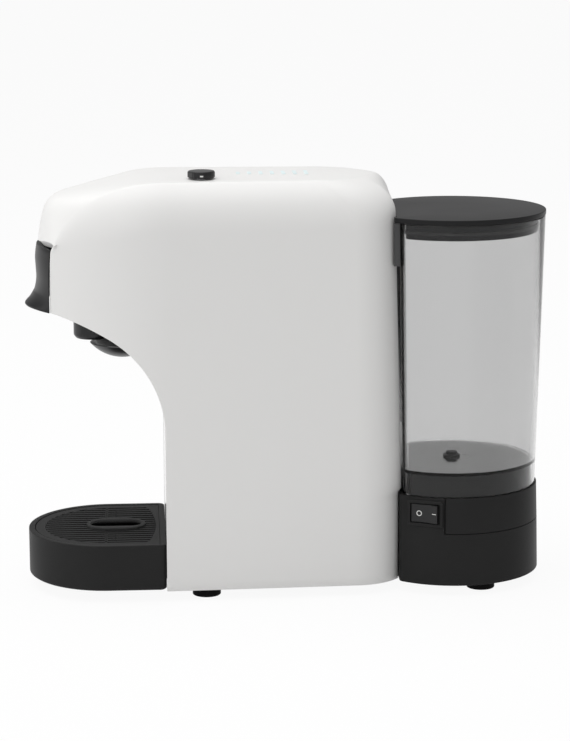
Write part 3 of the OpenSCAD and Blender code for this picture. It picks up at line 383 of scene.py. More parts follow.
def finish_node(name, material):
    """Gives a CAD solid that is shown as it is its finish."""
    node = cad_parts[name]
    node.data.materials.clear()
    node.data.materials.append(material)
    for polygon in node.data.polygons:
        polygon.material_index = 0


# The rear panel's dark finish is painted shade for the narrow gap between the body and the tank.
for name in ("base_plate", "cord_gland", "rear_panel"):
    finish_node(name, dark_satin)
finish_node("selector_shaft", zinc_steel)


def turned(profile, sides):
    """Points and faces of a turned piece: the profile is (radius, height) from one end of its axis on."""
    points = []
    for a in spread(0, 2 * pi, sides)[:-1]:
        points += [(r * cos(a), r * sin(a), z) for r, z in profile]
    return points, strip_faces(sides, len(profile), closed_columns=True)


def rounded(profile, r, steps=4):
    """A profile of (radius, height) points whose inner corners are rounded off to radius r."""
    out = [profile[0]]
    for a, b, c in zip(profile, profile[1:], profile[2:]):
        a, b, c = Vector(a), Vector(b), Vector(c)
        u, v = (a - b), (c - b)
        cut = min(r, u.length * 0.45, v.length * 0.45)
        if cut < 1e-4:
            out.append(tuple(b))
            continue
        p, q = b + u.normalized() * cut, b + v.normalized() * cut
        for t in spread(0, 1, steps):
            out.append(tuple(p * (1 - t) ** 2 + b * 2 * t * (1 - t) + q * t * t))
    return out + [profile[-1]]


def settle(piece, modifier):
    """Keeps what a modifier makes as a plain mesh, and removes the modifier."""
    result = bpy.data.meshes.new_from_object(piece.evaluated_get(bpy.context.evaluated_depsgraph_get()))
    piece.modifiers.remove(modifier)
    piece.data = result


def new_tree(name, places, **sizes):
    """A node tree with a mesh of places and named sizes to start from; gives back its sockets by name."""
    tree = bpy.data.node_groups.new(name, "GeometryNodeTree")
    if places:
        tree.interface.new_socket("Places", in_out="INPUT", socket_type="NodeSocketGeometry")
    for label, value in sizes.items():
        kind = {int: "NodeSocketInt", float: "NodeSocketFloat"}.get(type(value), "NodeSocketObject")
        socket = tree.interface.new_socket(label, in_out="INPUT", socket_type=kind)
        if value is not None:
            socket.default_value = value
    tree.interface.new_socket("Piece", in_out="OUTPUT", socket_type="NodeSocketGeometry")
    start = tree.nodes.new("NodeGroupInput")
    return tree, {socket.name: socket for socket in start.outputs if socket.name}


def reckon(tree, operation, *values):
    return step(tree, "ShaderNodeMath", dict(enumerate(values)), operation=operation)


def vector(tree, **parts):
    return step(tree, "ShaderNodeCombineXYZ", parts)


def end_tree(tree, geometry, material):
    """Real geometry in one material, because instances don't leave the tree."""
    real = step(tree, "GeometryNodeRealizeInstances", {"Geometry": geometry})
    painted = step(tree, "GeometryNodeSetMaterial", {"Geometry": real, "Material": material})
    link(tree, painted, tree.nodes.new("NodeGroupOutput").inputs["Piece"])


def grown(name, tree, places=(), smooth_below=35, **sizes):
    """Runs a tree over some places in millimetres and keeps what it makes as a plain mesh."""
    mesh = bpy.data.meshes.new(name)
    mesh.from_pydata([Vector(p) * MM for p in places], [], [])
    piece = new_object(name, mesh)
    repeat = piece.modifiers.new("repeat", "NODES")
    repeat.node_group = tree
    for socket in tree.interface.items_tree:
        if socket.in_out == "INPUT" and socket.name in sizes:
            repeat[socket.identifier] = sizes[socket.name]
    settle(piece, repeat)
    piece.data.shade_smooth()
    piece.data.set_sharp_from_angle(angle=radians(smooth_below))
    return piece


def repeat_tree(name, material):
    """Sets one made piece down at every place, turned over where asked."""
    tree, given = new_tree(name, True, Pattern=None, Turn=0.0)
    pattern = tree.nodes.new("GeometryNodeObjectInfo")
    link(tree, given["Pattern"], pattern.inputs["Object"])
    spots = step(tree, "GeometryNodeMeshToPoints", {"Mesh": given["Places"]})
    set_down = step(tree, "GeometryNodeInstanceOnPoints", {
        "Points": spots, "Instance": pattern.outputs["Geometry"], "Rotation": vector(tree, X=given["Turn"])})
    end_tree(tree, set_down, material)
    return tree


def repeated(name, tree, pattern, places, turn=0.0):
    piece = grown(name, tree, places, Pattern=pattern, Turn=turn)
    bpy.data.objects.remove(pattern)
    return piece


foot_r, foot_top = 8.4, base_z + 0.2
foot_profile = [(0.01, 0.5), (4.4, 0.5), (4.9, 0), (8, 0), (foot_r, 0.5), (foot_r, foot_top),
                (0.01, foot_top)]
one_foot = mesh_piece("one_foot", *turned(rounded(foot_profile, 0.25), 64), foot_rubber)
foot_places = [(35.9, -49.5, 0), (-35.9, -49.5, 0), (32, 114.7, 0), (-32, 114.7, 0)]
feet = repeated("rubber_feet_set", repeat_tree("feet_at_places", foot_rubber), one_foot, foot_places)
fit_piece(feet, "body", "foot_rubber", "rubber_feet")


def cross_screw(name, head_r, head_h, shank_r, shank_h):
    """A pan-head screw with a cross recess, head up, its shank under the origin."""
    points, sides = [], 48
    for a in spread(0, 2 * pi, sides)[:-1]:
        arm = abs((a + pi / 4) % (pi / 2) - pi / 4)
        slot = head_r * (0.62 if arm < 0.3 else 0.22)
        for r, z in ((0.01, -shank_h), (shank_r, -shank_h), (shank_r, 0), (head_r, 0), (head_r, head_h * 0.5),
                     (head_r * 0.86, head_h * 0.9), (head_r * 0.66, head_h), (slot, head_h),
                     (slot * 0.8, head_h * 0.35), (0.01, head_h * 0.3)):
            points.append((r * cos(a), r * sin(a), z))
    return mesh_piece(name, points, strip_faces(sides, 10, closed_columns=True), zinc_steel)


screw_tree = repeat_tree("screws_at_places", zinc_steel)
base_places = [(26, -58, 8), (-26, -58, 8), (26, -30, 8), (-26, -30, 8)]
base_screws = repeated("base_screw_set", screw_tree, cross_screw("one_base_screw", 3, 1.4, 1.5, 3.6),
                       base_places, pi)
fit_piece(base_screws, "body", "zinc_steel", "base_screws")

# ---------- Works inside the casing ----------
# A grey chassis frame holds the pump in rubber mounts, the flow meter, the cast thermoblock with its
# thermostat and the boards. Hoses of silicone and PTFE join them. The brew unit hangs in a pressed steel
# frame over the cup.
grey_plastic = moulded("grey_plastic", (0.11, 0.11, 0.115), 0.5, grain=2200, cloud=30, shade=0.08)
black_seal = moulded("black_seal_rubber", (0.018, 0.018, 0.018), 0.6, grain=1500, cloud=60, shade=0.15)
cast_aluminium = moulded("cast_aluminium", (0.56, 0.57, 0.58), 0.45, grain=700, grain_depth=0.0001, cloud=80,
                         shade=0.08, metallic=1.0)
stainless = moulded("stainless_steel", (0.62, 0.62, 0.63), 0.24, grain=600, cloud=60, shade=0.05,
                    metallic=1.0)
white_nylon = moulded("white_nylon", (0.78, 0.77, 0.72), 0.5, grain=1800, cloud=60, shade=0.03)
circuit_board = moulded("circuit_board_green", (0.012, 0.10, 0.045), 0.4, grain=500, cloud=90, shade=0.3)
pump_steel = moulded("pump_painted_steel", (0.20, 0.22, 0.25), 0.45, grain=900, cloud=60, shade=0.1,
                     metallic=0.3)
silicone = moulded("silicone_hose", (0.66, 0.66, 0.63), 0.35, grain=900, cloud=70, shade=0.04)
red_silicone = moulded("red_silicone", (0.30, 0.02, 0.015), 0.5, grain=1200, cloud=60, shade=0.1)
for material, names in (
        (grey_plastic, ("chassis", "coupling_socket", "drawer_carrier", "drawer_rails", "collector",
                        "selector_encoder")),
        (black_seal, ("coupling_seal", "pump_mounts", "lid_seal")),
        (cast_aluminium, ("thermoblock", "brew_head", "brew_piston")),
        (stainless, ("capsule_cup", "thermostat", "valve_spring", "piston_spring", "brew_frame")),
        (white_nylon, ("flow_meter", "valve_poppet", "selector_plunger")),
        (circuit_board, ("main_board", "control_board")),
        (pump_steel, ("water_pump",)),
        (silicone, ("inlet_hose", "suction_hose", "pressure_hose", "hot_hose")),
        (red_silicone, ("piston_seal",))):
    for name in names:
        finish_node(name, material)

# ---------- Tank base and collar ----------
# The round dark foot of the machine, moulded in two parts that meet at a fine seam: the base below and the
# collar with the raised stage that the tank stands over. The switch panel is part of the base.
tank_y, seam_z, collar_top = 100.5, 37.4, 59.0
stage_r, stage_top, well_r, screw_z = 47.2, 71.8, 11.7, 70.75
low_r, mid_r, high_r, base_chord, collar_wall, collar_front = 52.5, 51.9, 51.3, 35.1, 4.1, 6.8
switch_turn, switch_z = radians(-24), 49.5
block_faces = [(0, 1, 3, 2), (4, 6, 7, 5), (0, 4, 5, 1), (2, 3, 7, 6), (0, 2, 6, 4), (1, 5, 7, 3)]


def at_switch(point):
    """From the switch's own place (out, along, up) to the machine's."""
    x, y, z = point
    x += mid_r - 0.3
    return (x * cos(switch_turn) - y * sin(switch_turn),
            tank_y + x * sin(switch_turn) + y * cos(switch_turn), switch_z + z)


def cut_out(piece, corners):
    """Cuts a block with these eight corners (ordered by depth, then along, then up) out of a piece."""
    block = mesh_piece("cutting_block", corners, block_faces, piece.data.materials[0])
    cut = piece.modifiers.new("cut", "BOOLEAN")
    cut.object = block
    cut.operation = "DIFFERENCE"
    cut.solver = "EXACT"
    settle(piece, cut)
    piece.data.set_sharp_from_angle(angle=radians(30))
    bpy.data.objects.remove(block)


front_steps, bend_steps, seam_steps, back_steps = 16, 8, 20, 88


def d_ring(r, chord, z, fillet=3.0, seam=None):
    """A round outline with a flat front and two rounded corners; a seam adds points close to it."""
    fillet = max(0.05, fillet)
    cy = -(chord - fillet)
    cx = sqrt((r - fillet) ** 2 - cy ** 2)
    meet = atan2(cy, cx)
    ring = [(x, -chord) for x in spread(-cx, cx, front_steps)]
    ring += [(cx + fillet * cos(a), cy + fillet * sin(a)) for a in spread(-pi / 2, meet, bend_steps)[1:]]
    if seam is None:
        turns = spread(meet, pi - meet, back_steps)
    else:
        turns = spread(meet, seam[0], seam_steps) + seam[1:-1] + spread(seam[-1], pi - meet, back_steps)
    ring += [(r * cos(a), r * sin(a)) for a in turns[1:]]
    last_bend = spread(pi - meet, 1.5 * pi, bend_steps)[1:-1]
    ring += [(-cx + fillet * cos(a), cy + fillet * sin(a)) for a in last_bend]
    return [(x, tank_y + y, z) for x, y in ring]


def hole_ring(r, z, like):
    """A circle with as many points as another ring, each on the same bearing from the tank's middle."""
    ring = []
    for x, y, _ in like:
        a = atan2(y - tank_y, x)
        ring.append((r * cos(a), tank_y + r * sin(a), z))
    return ring


def rings_piece(name, rings, material, closed=False, smooth_below=35):
    count = len(rings[0])
    faces = strip_faces(len(rings), count, closed_columns=closed, closed_rows=True)
    if not closed:
        faces += [tuple(range(count)), tuple((len(rings) - 1) * count + k for k in range(count))]
    return mesh_piece(name, [p for ring in rings for p in ring], faces, material, smooth_below)


def d_profile(profile, radius_at, chord_at, fillet=3.0):
    """Rings from a profile of (depth inside the wall, height)."""
    return [d_ring(radius_at(z) - d, chord_at(z) - d, z, max(0.3, fillet - d)) for d, z in profile]


base_radius = lambda z: low_r + (mid_r - low_r) * (z - base_z) / (seam_z - base_z)
collar_radius = lambda z: mid_r + (high_r - mid_r) * (z - seam_z) / (collar_top - seam_z)
# The seam runs round the foot, and beside the switch it turns up to the collar's top.
# A depth of in_seam marks the two rings that are dug in.
groove, in_seam, front_extra = 1.3, -1, collar_front - collar_wall
seam_turn = -asin(10 / 51.6)
seam_turns = [seam_turn, seam_turn + 0.002, seam_turn + 0.014, seam_turn + 0.016]
seam_first = 1 + front_steps + bend_steps + seam_steps
seam_end = front_steps - 2
shell_profile = rounded([(2.4, base_z), (0, base_z), (0, seam_z - 1)], 0.5)
shell_profile += [(0, seam_z - 0.03), (in_seam, seam_z), (in_seam, seam_z + 0.38), (0, seam_z + 0.41)]
shell_profile += rounded([(0, seam_z + 1), (0, collar_top), (collar_wall, collar_top),
                          (collar_wall, stage_top), (stage_r - well_r + 2, stage_top)], 0.4)
rings = []
for d, z in shell_profile:
    radius = base_radius(z) if z < seam_z else collar_radius(min(z, collar_top))
    deep = 0 if d == in_seam else d
    chord = base_chord - (deep * collar_front / collar_wall if deep < collar_wall else deep + front_extra)
    ring = d_ring(radius - deep, min(chord, 0.92 * (radius - deep)), z, max(0.3, 3 - deep), seam_turns)
    dug = []
    for k, (x, y, height) in enumerate(ring):
        in_level_seam = d == in_seam and (k > seam_first + 1 or k < seam_end)
        in_upright_seam = k in (seam_first, seam_first + 1) and z > seam_z and deep < 0.2
        if in_level_seam or in_upright_seam:
            shrink = 1 - groove / hypot(x, y - tank_y)
            x, y = x * shrink, tank_y + (y - tank_y) * shrink
        dug.append((x, y, height))
    rings.append(dug)
rings.append(hole_ring(well_r, stage_top, rings[0]))
rings.append(hole_ring(well_r, stage_top - 4, rings[0]))
stand = rings_piece("tank_stand_shell", rings, dark_satin)
cut_out(stand, [at_switch((x, y, z)) for x in (-8, 6) for y in (-9.9, 9.9) for z in (-6.65, 6.65)])
work = bmesh.new()
work.from_mesh(stand.data)
well_floor = [face for face in work.faces if len(face.verts) > 50 and face.calc_center_median().z > 0.05]
bmesh.ops.delete(work, geom=well_floor, context="FACES_ONLY")
work.to_mesh(stand.data)
work.free()
fit_piece(stand, "body", "dark_satin_plastic", "tank_base", "tank_collar")
coupling_places = [(14 * cos(radians(a)), tank_y + 14 * sin(radians(a)), screw_z) for a in (90, 210, 330)]
coupling_screws = repeated("coupling_screw_set", screw_tree,
                           cross_screw("one_coupling_screw", 2.3, 1, 1.2, 3.5), coupling_places)
fit_piece(coupling_screws, "body", "zinc_steel", "coupling_screws")

# ---------- Power switch ----------
# A standard rocker switch pressed into the panel from outside: a satin frame, and a glossy rocker with a
# printed ring for off and a bar for on. It rocks on two pins.
fine_gloss = {"grain": 1200, "grain_depth": 0.000004, "cloud": 14, "shade": 0.1}
black_gloss = moulded("black_gloss_plastic", (0.012, 0.012, 0.0125), 0.3, shine=0.35, **fine_gloss)
white_print = moulded("white_print", (0.80, 0.80, 0.78), 0.5, grain=3000, cloud=200, shade=0.05)


def rounded_rectangle(length, height, r, steps=6):
    ring = []
    for cy, cz, start in ((length / 2 - r, height / 2 - r, 0), (-length / 2 + r, height / 2 - r, 1),
                          (-length / 2 + r, -height / 2 + r, 2), (length / 2 - r, -height / 2 + r, 3)):
        for a in spread(start * pi / 2, (start + 1) * pi / 2, steps):
            ring.append((cy + r * cos(a), cz + r * sin(a)))
    return ring


def plate_rings(outlines):
    """Rings in the switch's own place from (length, height, corner radius, out)."""
    return [[at_switch((out, y, z)) for y, z in rounded_rectangle(l, h, r)] for l, h, r, out in outlines]


frame_rings = plate_rings([(21.6, 15.6, 1.3, -1.0), (22, 16, 1.5, 0.15), (21.9, 15.9, 1.4, 0.45),
                           (21.4, 15.4, 1.2, 0.68), (20.9, 14.9, 1.0, 0.7), (18.9, 12.5, 0.6, 0.7),
                           (18.4, 12.0, 0.5, 0.5), (18.2, 11.8, 0.4, -1.2), (18.2, 11.8, 0.4, -6.5)])
switch_frame = rings_piece("switch_frame_bezel", frame_rings, dark_satin)
fit_piece(switch_frame, "body", "black_plastic", "switch_frame")
rocker_tilt, rocker_pin, rocker_low, rocker_rise, rocker_half = radians(-5), -2.3, 2.7, 0.9, 8.2


def at_rocker(point):
    """From the rocker's own place, with its pin at the middle, to the machine's."""
    x, y, z = point
    return at_switch((rocker_pin + x * cos(rocker_tilt) - y * sin(rocker_tilt),
                      x * sin(rocker_tilt) + y * cos(rocker_tilt), z))


def rocker_face(y):
    return rocker_low + rocker_rise * (y / rocker_half) ** 2


rocker_points = []
rocker_curve = [(rocker_face(y), y) for y in spread(rocker_half, -rocker_half, 24)]
for x, y in [(-2.5, -3), (-2.5, 3), (2, 8.3)] + rocker_curve + [(2, -8.3)]:
    rocker_points += [at_rocker((x, y, -5.5)), at_rocker((x, y, 5.5))]
count = len(rocker_points) // 2
rocker_faces = [(2 * k, 2 * k + 1, (2 * k + 3) % (2 * count), (2 * k + 2) % (2 * count))
                for k in range(count)]
rocker_faces += [tuple(2 * k for k in range(count)), tuple(2 * k + 1 for k in range(count))]
rocker = mesh_piece("switch_rocker_key", rocker_points, rocker_faces, black_gloss)
soften(rocker, 0.35)
fit_piece(rocker, "rocker", "black_plastic", "switch_rocker")

print_points = []
for a in spread(0, 2 * pi, 40)[:-1]:
    for r, lift in ((1.2, 0.01), (1.2, 0.06), (1.65, 0.06), (1.65, 0.01)):
        y, z = -3.4 + r * cos(a), r * sin(a)
        print_points.append(at_rocker((rocker_face(y) + lift, y, z)))
print_faces = strip_faces(40, 4, closed_columns=True, closed_rows=True)
start = len(print_points)
for y in (4.9, 7.5):
    for z, lift in ((0.1, 0.01), (0.1, 0.06), (0.5, 0.06), (0.5, 0.01)):
        print_points.append(at_rocker((rocker_face(y) + lift, y, z)))
bar_faces = strip_faces(2, 4, closed_rows=True) + [(3, 2, 1, 0), (4, 5, 6, 7)]
print_faces += [tuple(start + k for k in face) for face in bar_faces]
marks = mesh_piece("switch_rocker_marks", print_points, print_faces, white_print)
fit_piece(marks, "rocker", "black_plastic")

# ---------- Water tank ----------
# A clear moulded tank with a flat front and 1.6 degrees of draft. Its skirt slips over the stage, and the
# floor carries a dark valve with a hexagonal nut.
rim_z, skirt_z, tank_floor, tank_wall, valve_hole_r = 221.45, 59.05, 72.0, 2.2, 4.5
rim_r, rim_front, draft, front_draft = 54.8, 35.8, tan(radians(1.6)), tan(radians(0.985))
tank_radius = lambda z: rim_r - (rim_z - z) * draft
tank_front = lambda z: rim_front - (rim_z - z) * front_draft


def clear_moulding(name, colour, roughness, ior, absorbs):
    """A see-through plastic that darkens where the light runs a long way through the wall."""
    material = moulded(name, colour, roughness, grain=350, grain_depth=0.00001, cloud=12, shade=0.01)
    tree = material.node_tree
    feed(tree, tree.nodes["Principled BSDF"], {"Transmission Weight": 1.0, "IOR": ior})
    depth = step(tree, "ShaderNodeVolumeAbsorption", {"Color": (0, 0, 0, 1), "Density": absorbs})
    feed(tree, tree.nodes["Material Output"], {"Volume": depth})
    return material


clear_plastic = clear_moulding("clear_tank_plastic", (0.773,) * 3, 0.05, 1.3, 30)
profile = rounded([(tank_wall, tank_floor), (tank_wall, skirt_z), (0, skirt_z), (0, rim_z),
                   (tank_wall, rim_z), (tank_wall, tank_floor + 2)], 0.7)
tank_rings = d_profile(profile, tank_radius, tank_front, 7.5)
tank_rings.insert(0, hole_ring(valve_hole_r, tank_floor, tank_rings[0]))
tank_rings.append(hole_ring(valve_hole_r, tank_floor + 2, tank_rings[0]))
tank = rings_piece("tank_clear_body", tank_rings, clear_plastic, closed=True)
fit_piece(tank, "tank", "clear_plastic", "tank")
finish_node("tank_valve", dark_satin)
clip_grey = moulded("dark_grey_clip", (0.05, 0.05, 0.051), 0.45, cloud=22, shade=0.1)
finish_node("tank_clip", clip_grey)

# ---------- Tank lid ----------
# A flat dark lid with a thin rim and a skirt that plugs into the tank, with a rubber seal in a groove round
# it. It is moulded in black plastic with a faint sheen, and its rear half follows the tank's round side.
lid_top, lid_r, lid_chord, lid_skirt_r, lid_skirt_chord = 224.6, 55.0, 39.0, 50.9, 32.2
lid_black = moulded("lid_black_plastic", (0.019, 0.019, 0.0195), 0.36, grain=1500, grain_depth=0.00001,
                    cloud=16, shade=0.08, shine=0.08)
lid_profile = rounded([(40, 221.5), (0.4, 221.5), (0, 222), (0, 224.3), (0.3, lid_top), (30, lid_top)], 0.25)
lid = rings_piece("tank_lid_cover", [d_ring(lid_r - d, lid_chord - min(d, 30), z, max(0.4, 3 - d))
                                     for d, z in lid_profile], lid_black)
cut_out(lid, [(x, y, z) for y in (50, 63.2) for x in (-36, 36) for z in (221, 225)])
fit_piece(lid, "lid", "black_plastic", "tank_lid")
skirt = [(0, 221.4), (0, 217.2), (0.8, 217.0), (0.8, 215.0), (0, 214.8), (0, 212.3), (0.4, 212), (1.5, 212),
         (1.8, 212.4), (1.8, 221.4)]
skirt_rings = [d_ring(lid_skirt_r - d, lid_skirt_chord - d, z, 3) for d, z in skirt]
lid_skirt = rings_piece("tank_lid_skirt", skirt_rings, lid_black, closed=True)
fit_piece(lid_skirt, "lid", "black_plastic")

# ---------- Drip tray ----------
# A deep dark tray with a rounded front that slides in over the tongue of the base plate. A rim stands round
# the grid that lies in it.
tray_half, tray_back, tray_mid, tray_nose, tray_low, tray_top = 51.5, -73.3, -107.5, 47.9, 7.0, 34.3
tray_corner_r = 4.0


def tray_ring(d, z):
    r = max(1, tray_corner_r - d)
    nose = [((tray_half - d) * cos(a), tray_mid + (tray_nose - d) * sin(a)) for a in spread(pi, 2 * pi, 96)]
    cx, cy = tray_half - d - r, tray_back - d - r
    side = [(tray_half - d, y) for y in spread(tray_mid, cy, 8)[1:-1]]
    side += [(cx + r * cos(a), cy + r * sin(a)) for a in spread(0, pi / 2, 8)]
    back = [(x, tray_back - d) for x in spread(cx, -cx, 20)[1:-1]]
    ring = nose + side + back + [(-x, y) for x, y in reversed(side)]
    return [(x, y, z) for x, y in ring]


tray_profile = rounded([(1.2, tray_low), (0, tray_low + 0.8), (0, tray_top), (3.6, tray_top), (3.6, 31.1),
                        (6, 31.1), (6, 16), (9, 16)], 0.6)
tray = rings_piece("drip_tray_body", [tray_ring(d, z) for d, z in tray_profile], dark_satin)
fit_piece(tray, "tray", "dark_satin_plastic", "drip_tray")

# ---------- Drip grid ----------
# A flat moulded grid that drops into the tray: a plate with a round-ended window of slats, one cross rib, and
# a raised ring round a slot in the middle.
grid_low, grid_top, ring_y = 31.2, 34.0, -103.0
border, back_border = 9.8, 5.7
window_mid, window_half, window_reach = -105, tray_half - border, tray_nose - border
back_mid, back_r = -260, 181


def window_point(angle):
    """The edge of the slatted window in a direction from its middle."""
    dx, dy = cos(angle), sin(angle)
    low, high = 0.0, 90.0
    for _ in range(40):
        t = (low + high) / 2
        x, y = t * dx, window_mid + t * dy
        inside = x * x + (y - back_mid) ** 2 < back_r ** 2 and y < tray_back - back_border
        inside = inside and abs(x) < window_half
        if y < tray_mid:
            inside = inside and (x / window_half) ** 2 + ((y - tray_mid) / window_reach) ** 2 < 1
        low, high = (t, high) if inside else (low, t)
    return low * dx, window_mid + low * dy


outer = [(x, y) for x, y, _ in tray_ring(3.9, 0)]
inner = [window_point(atan2(y - window_mid, x)) for x, y in outer]
plate = [[(x, y, grid_low) for x, y in inner], [(x, y, grid_low) for x, y in outer],
         [(x, y, grid_top - 0.3) for x, y in outer], [(x * 0.995, y * 0.998, grid_top) for x, y in outer],
         [(x, y, grid_top) for x, y in inner]]
grid_plate = rings_piece("drip_grid_plate", plate, dark_satin, closed=True)
fit_piece(grid_plate, "grid", "dark_satin_plastic", "drip_grid")


def stadium(length, width, z, steps=20):
    half, r = (length - width) / 2, width / 2
    ring = [(r * cos(a), ring_y + half + r * sin(a), z) for a in spread(0, pi, steps)]
    return ring + [(r * cos(a), ring_y - half + r * sin(a), z) for a in spread(pi, 2 * pi, steps)]


raised = [(36, 28, 31.2), (36, 28, 34.2), (35.4, 27.4, 34.9), (33.6, 25.6, 35.2), (31.6, 13.6, 35.1),
          (30.6, 12.6, 34.8), (30, 12, 34.2), (30.4, 12.4, 33.4), (34, 24, 31.2)]
grid_ring = rings_piece("drip_grid_ring", [stadium(*row) for row in raised], dark_satin, closed=True)
fit_piece(grid_ring, "grid", "dark_satin_plastic")


def slat_tree(name, material):
    """Slats across the window, each as long as the window is there, with a gap round the middle ring."""
    tree, given = new_tree(
        name, False, Count=17, Pitch=0.0048, Width=0.0025, Thickness=0.0028, Top=grid_top * MM,
        Window_half=window_half * MM, Window_reach=window_reach * MM, Window_middle=tray_mid * MM,
        Back_radius=back_r * MM, Back_middle=back_mid * MM, Ring_middle=ring_y * MM, Ring_radius=0.014,
        Ring_straight=0.004)
    minus, plus, times, larger = [lambda *values, kind=kind: reckon(tree, kind, *values)
                                  for kind in ("SUBTRACT", "ADD", "MULTIPLY", "MAXIMUM")]
    first = vector(tree, X=times(times(minus(given["Count"], 1.0), -0.5), given["Pitch"]))
    line = step(tree, "GeometryNodeMeshLine", {
        "Count": given["Count"], "Start Location": first, "Offset": vector(tree, X=given["Pitch"])})
    x = step(tree, "ShaderNodeSeparateXYZ", {"Vector": step(tree, "GeometryNodeInputPosition", {})})
    share = reckon(tree, "DIVIDE", x, given["Window_half"])
    bow = reckon(tree, "SQRT", larger(minus(1.0, times(share, share)), 0.0))
    window_front = minus(given["Window_middle"], times(bow, given["Window_reach"]))
    x_squared = times(x, x)
    back_squared = minus(times(given["Back_radius"], given["Back_radius"]), x_squared)
    window_back = plus(given["Back_middle"], reckon(tree, "SQRT", back_squared))
    ring_squared = minus(times(given["Ring_radius"], given["Ring_radius"]), x_squared)
    at_ring = reckon(tree, "GREATER_THAN", ring_squared, 0.0)
    gap = plus(reckon(tree, "SQRT", larger(ring_squared, 0.0)),
               times(at_ring, minus(given["Ring_straight"], 0.0005)))
    height = minus(given["Top"], times(given["Thickness"], 0.5))
    slat = step(tree, "GeometryNodeMeshCube", {"Size": (1, 1, 1)})
    rows = tree.nodes.new("GeometryNodeJoinGeometry")
    for start, end in ((minus(window_front, 0.0004), minus(given["Ring_middle"], gap)),
                       (plus(given["Ring_middle"], gap), plus(window_back, 0.0004))):
        place = vector(tree, X=x, Y=times(plus(start, end), 0.5), Z=height)
        size = vector(tree, X=given["Width"], Y=minus(end, start), Z=given["Thickness"])
        row = step(tree, "GeometryNodeInstanceOnPoints", {"Points": line, "Instance": slat, "Scale": size})
        moved = step(tree, "GeometryNodeSetPosition", {"Geometry": row, "Position": place})
        link(tree, moved, rows.inputs[0])
    end_tree(tree, rows.outputs[0], material)
    return tree


slats = grown("drip_grid_slats", slat_tree("grid_slats", dark_satin), smooth_below=20)
soften(slats, 0.25)
fit_piece(slats, "grid", "dark_satin_plastic")
for side in (-1, 1):
    x0, x1 = sorted((side * 10, side * 41))
    corners = [(x, y, z) for x in (x0, x1) for y in (ring_y - 6.6, ring_y - 5) for z in (grid_low, grid_top)]
    rib = mesh_piece(f"drip_grid_cross_rib_{'left' if side < 0 else 'right'}", corners, block_faces,
                     dark_satin)
    soften(rib, 0.25)
    fit_piece(rib, "grid", "dark_satin_plastic")

# ---------- Capsule drawer front ----------
# The glossy black face of the capsule drawer, curved across and drawn out into a finger lip along the bottom
# edge. It is screwed to the carrier that holds the capsule cup.
drawer_heights = [170.2, 170.7, 171.6, 172.9, 174.8, 177.8, 180.8, 186.8, 192.8, 198.8, 203.5, 207.2]
drawer_bulges = [12.6, 14.6, 15.1, 14.2, 12.4, 10.5, 9.1, 8.1, 8.3, 8.6, 8.2, 7.6]
drawer_half, drawer_edge = 33.5, -139.6
drawer_gloss = moulded("drawer_gloss_black", (0.011, 0.011, 0.0115), 0.34, shine=0.12, **fine_gloss)


def lean_back(z):
    return 0.8 * ((z - 170.2) / 34) ** 3 + 1.7 * (max(0, z - 204) / 6) ** 2


drawer_table = list(zip(drawer_bulges, drawer_heights))
rows = [smooth_between(drawer_table, k) for k in spread(0, len(drawer_table) - 1, 88)]
points = []
back_rows = rows[::-8]
for s in spread(-1, 1, 64):
    bow = 1 - s * s
    points += [(drawer_half * s, drawer_edge + lean_back(z) - (bulge + lean_back(z)) * bow, z)
               for bulge, z in rows]
    points += [(drawer_half * s * 0.98, drawer_edge + lean_back(z) + 0.3 - (4 + lean_back(z)) * bow, z)
               for _, z in back_rows]
count = len(rows) + len(back_rows)
faces = strip_faces(65, count, closed_rows=True)
faces += [tuple(range(count)), tuple(64 * count + k for k in range(count))]
drawer_face = mesh_piece("drawer_front_face", points, faces, drawer_gloss, 40)
soften(drawer_face, 0.3, 60)
fit_piece(drawer_face, "drawer", "black_plastic", "drawer_front")

# ---------- Coffee spout and drip dish ----------
# A short black spout with a rounded foot under the front of the arch, and behind it half a shallow dish that
# catches drips. Both are moulded in glossy black and snap into the arch's roof.
spout_y, spout_r, bore_r, spout_low = -115.3, 11.0, 3.0, 149.6


def roof_over(y):
    """Height of the arch's inner face over a depth."""
    if y < roof_y:
        return roof_at(y)
    return arch_z + sqrt(max(0, arch_r ** 2 - (y - front_y + arch_r) ** 2))


points, sides = [], 72
outline = rounded([(bore_r, spout_low + 6), (bore_r, spout_low), (spout_r - 1.5, spout_low),
                   (spout_r, spout_low + 2), (spout_r, spout_low + 4)], 0.8)
for a in spread(0, 2 * pi, sides)[:-1]:
    x, y = cos(a), sin(a)
    for r, z in outline:
        points.append((r * x, spout_y + r * y, z))
    for r in (spout_r, bore_r):
        points.append((r * x, spout_y + r * y, roof_over(spout_y + r * y) + 0.05))
faces = strip_faces(sides, len(outline) + 2, closed_columns=True, closed_rows=True)
spout = mesh_piece("spout_body", points, faces, black_gloss)
fit_piece(spout, "body", "black_plastic", "spout")
finish_node("drip_dish", black_gloss)

# ---------- Selector ----------
# A low knob on the hood that is pushed and turned. It is moulded in glossy black, with a fine grip round its
# side and a small printed mark, and sits on the end of the selector shaft.
knob_low, knob_height, knob_r = 247.55, 4.0, 8.0


def at_knob(r, a, z):
    return knob_place[0] + r * cos(a), knob_place[1] + r * sin(a), knob_low + z


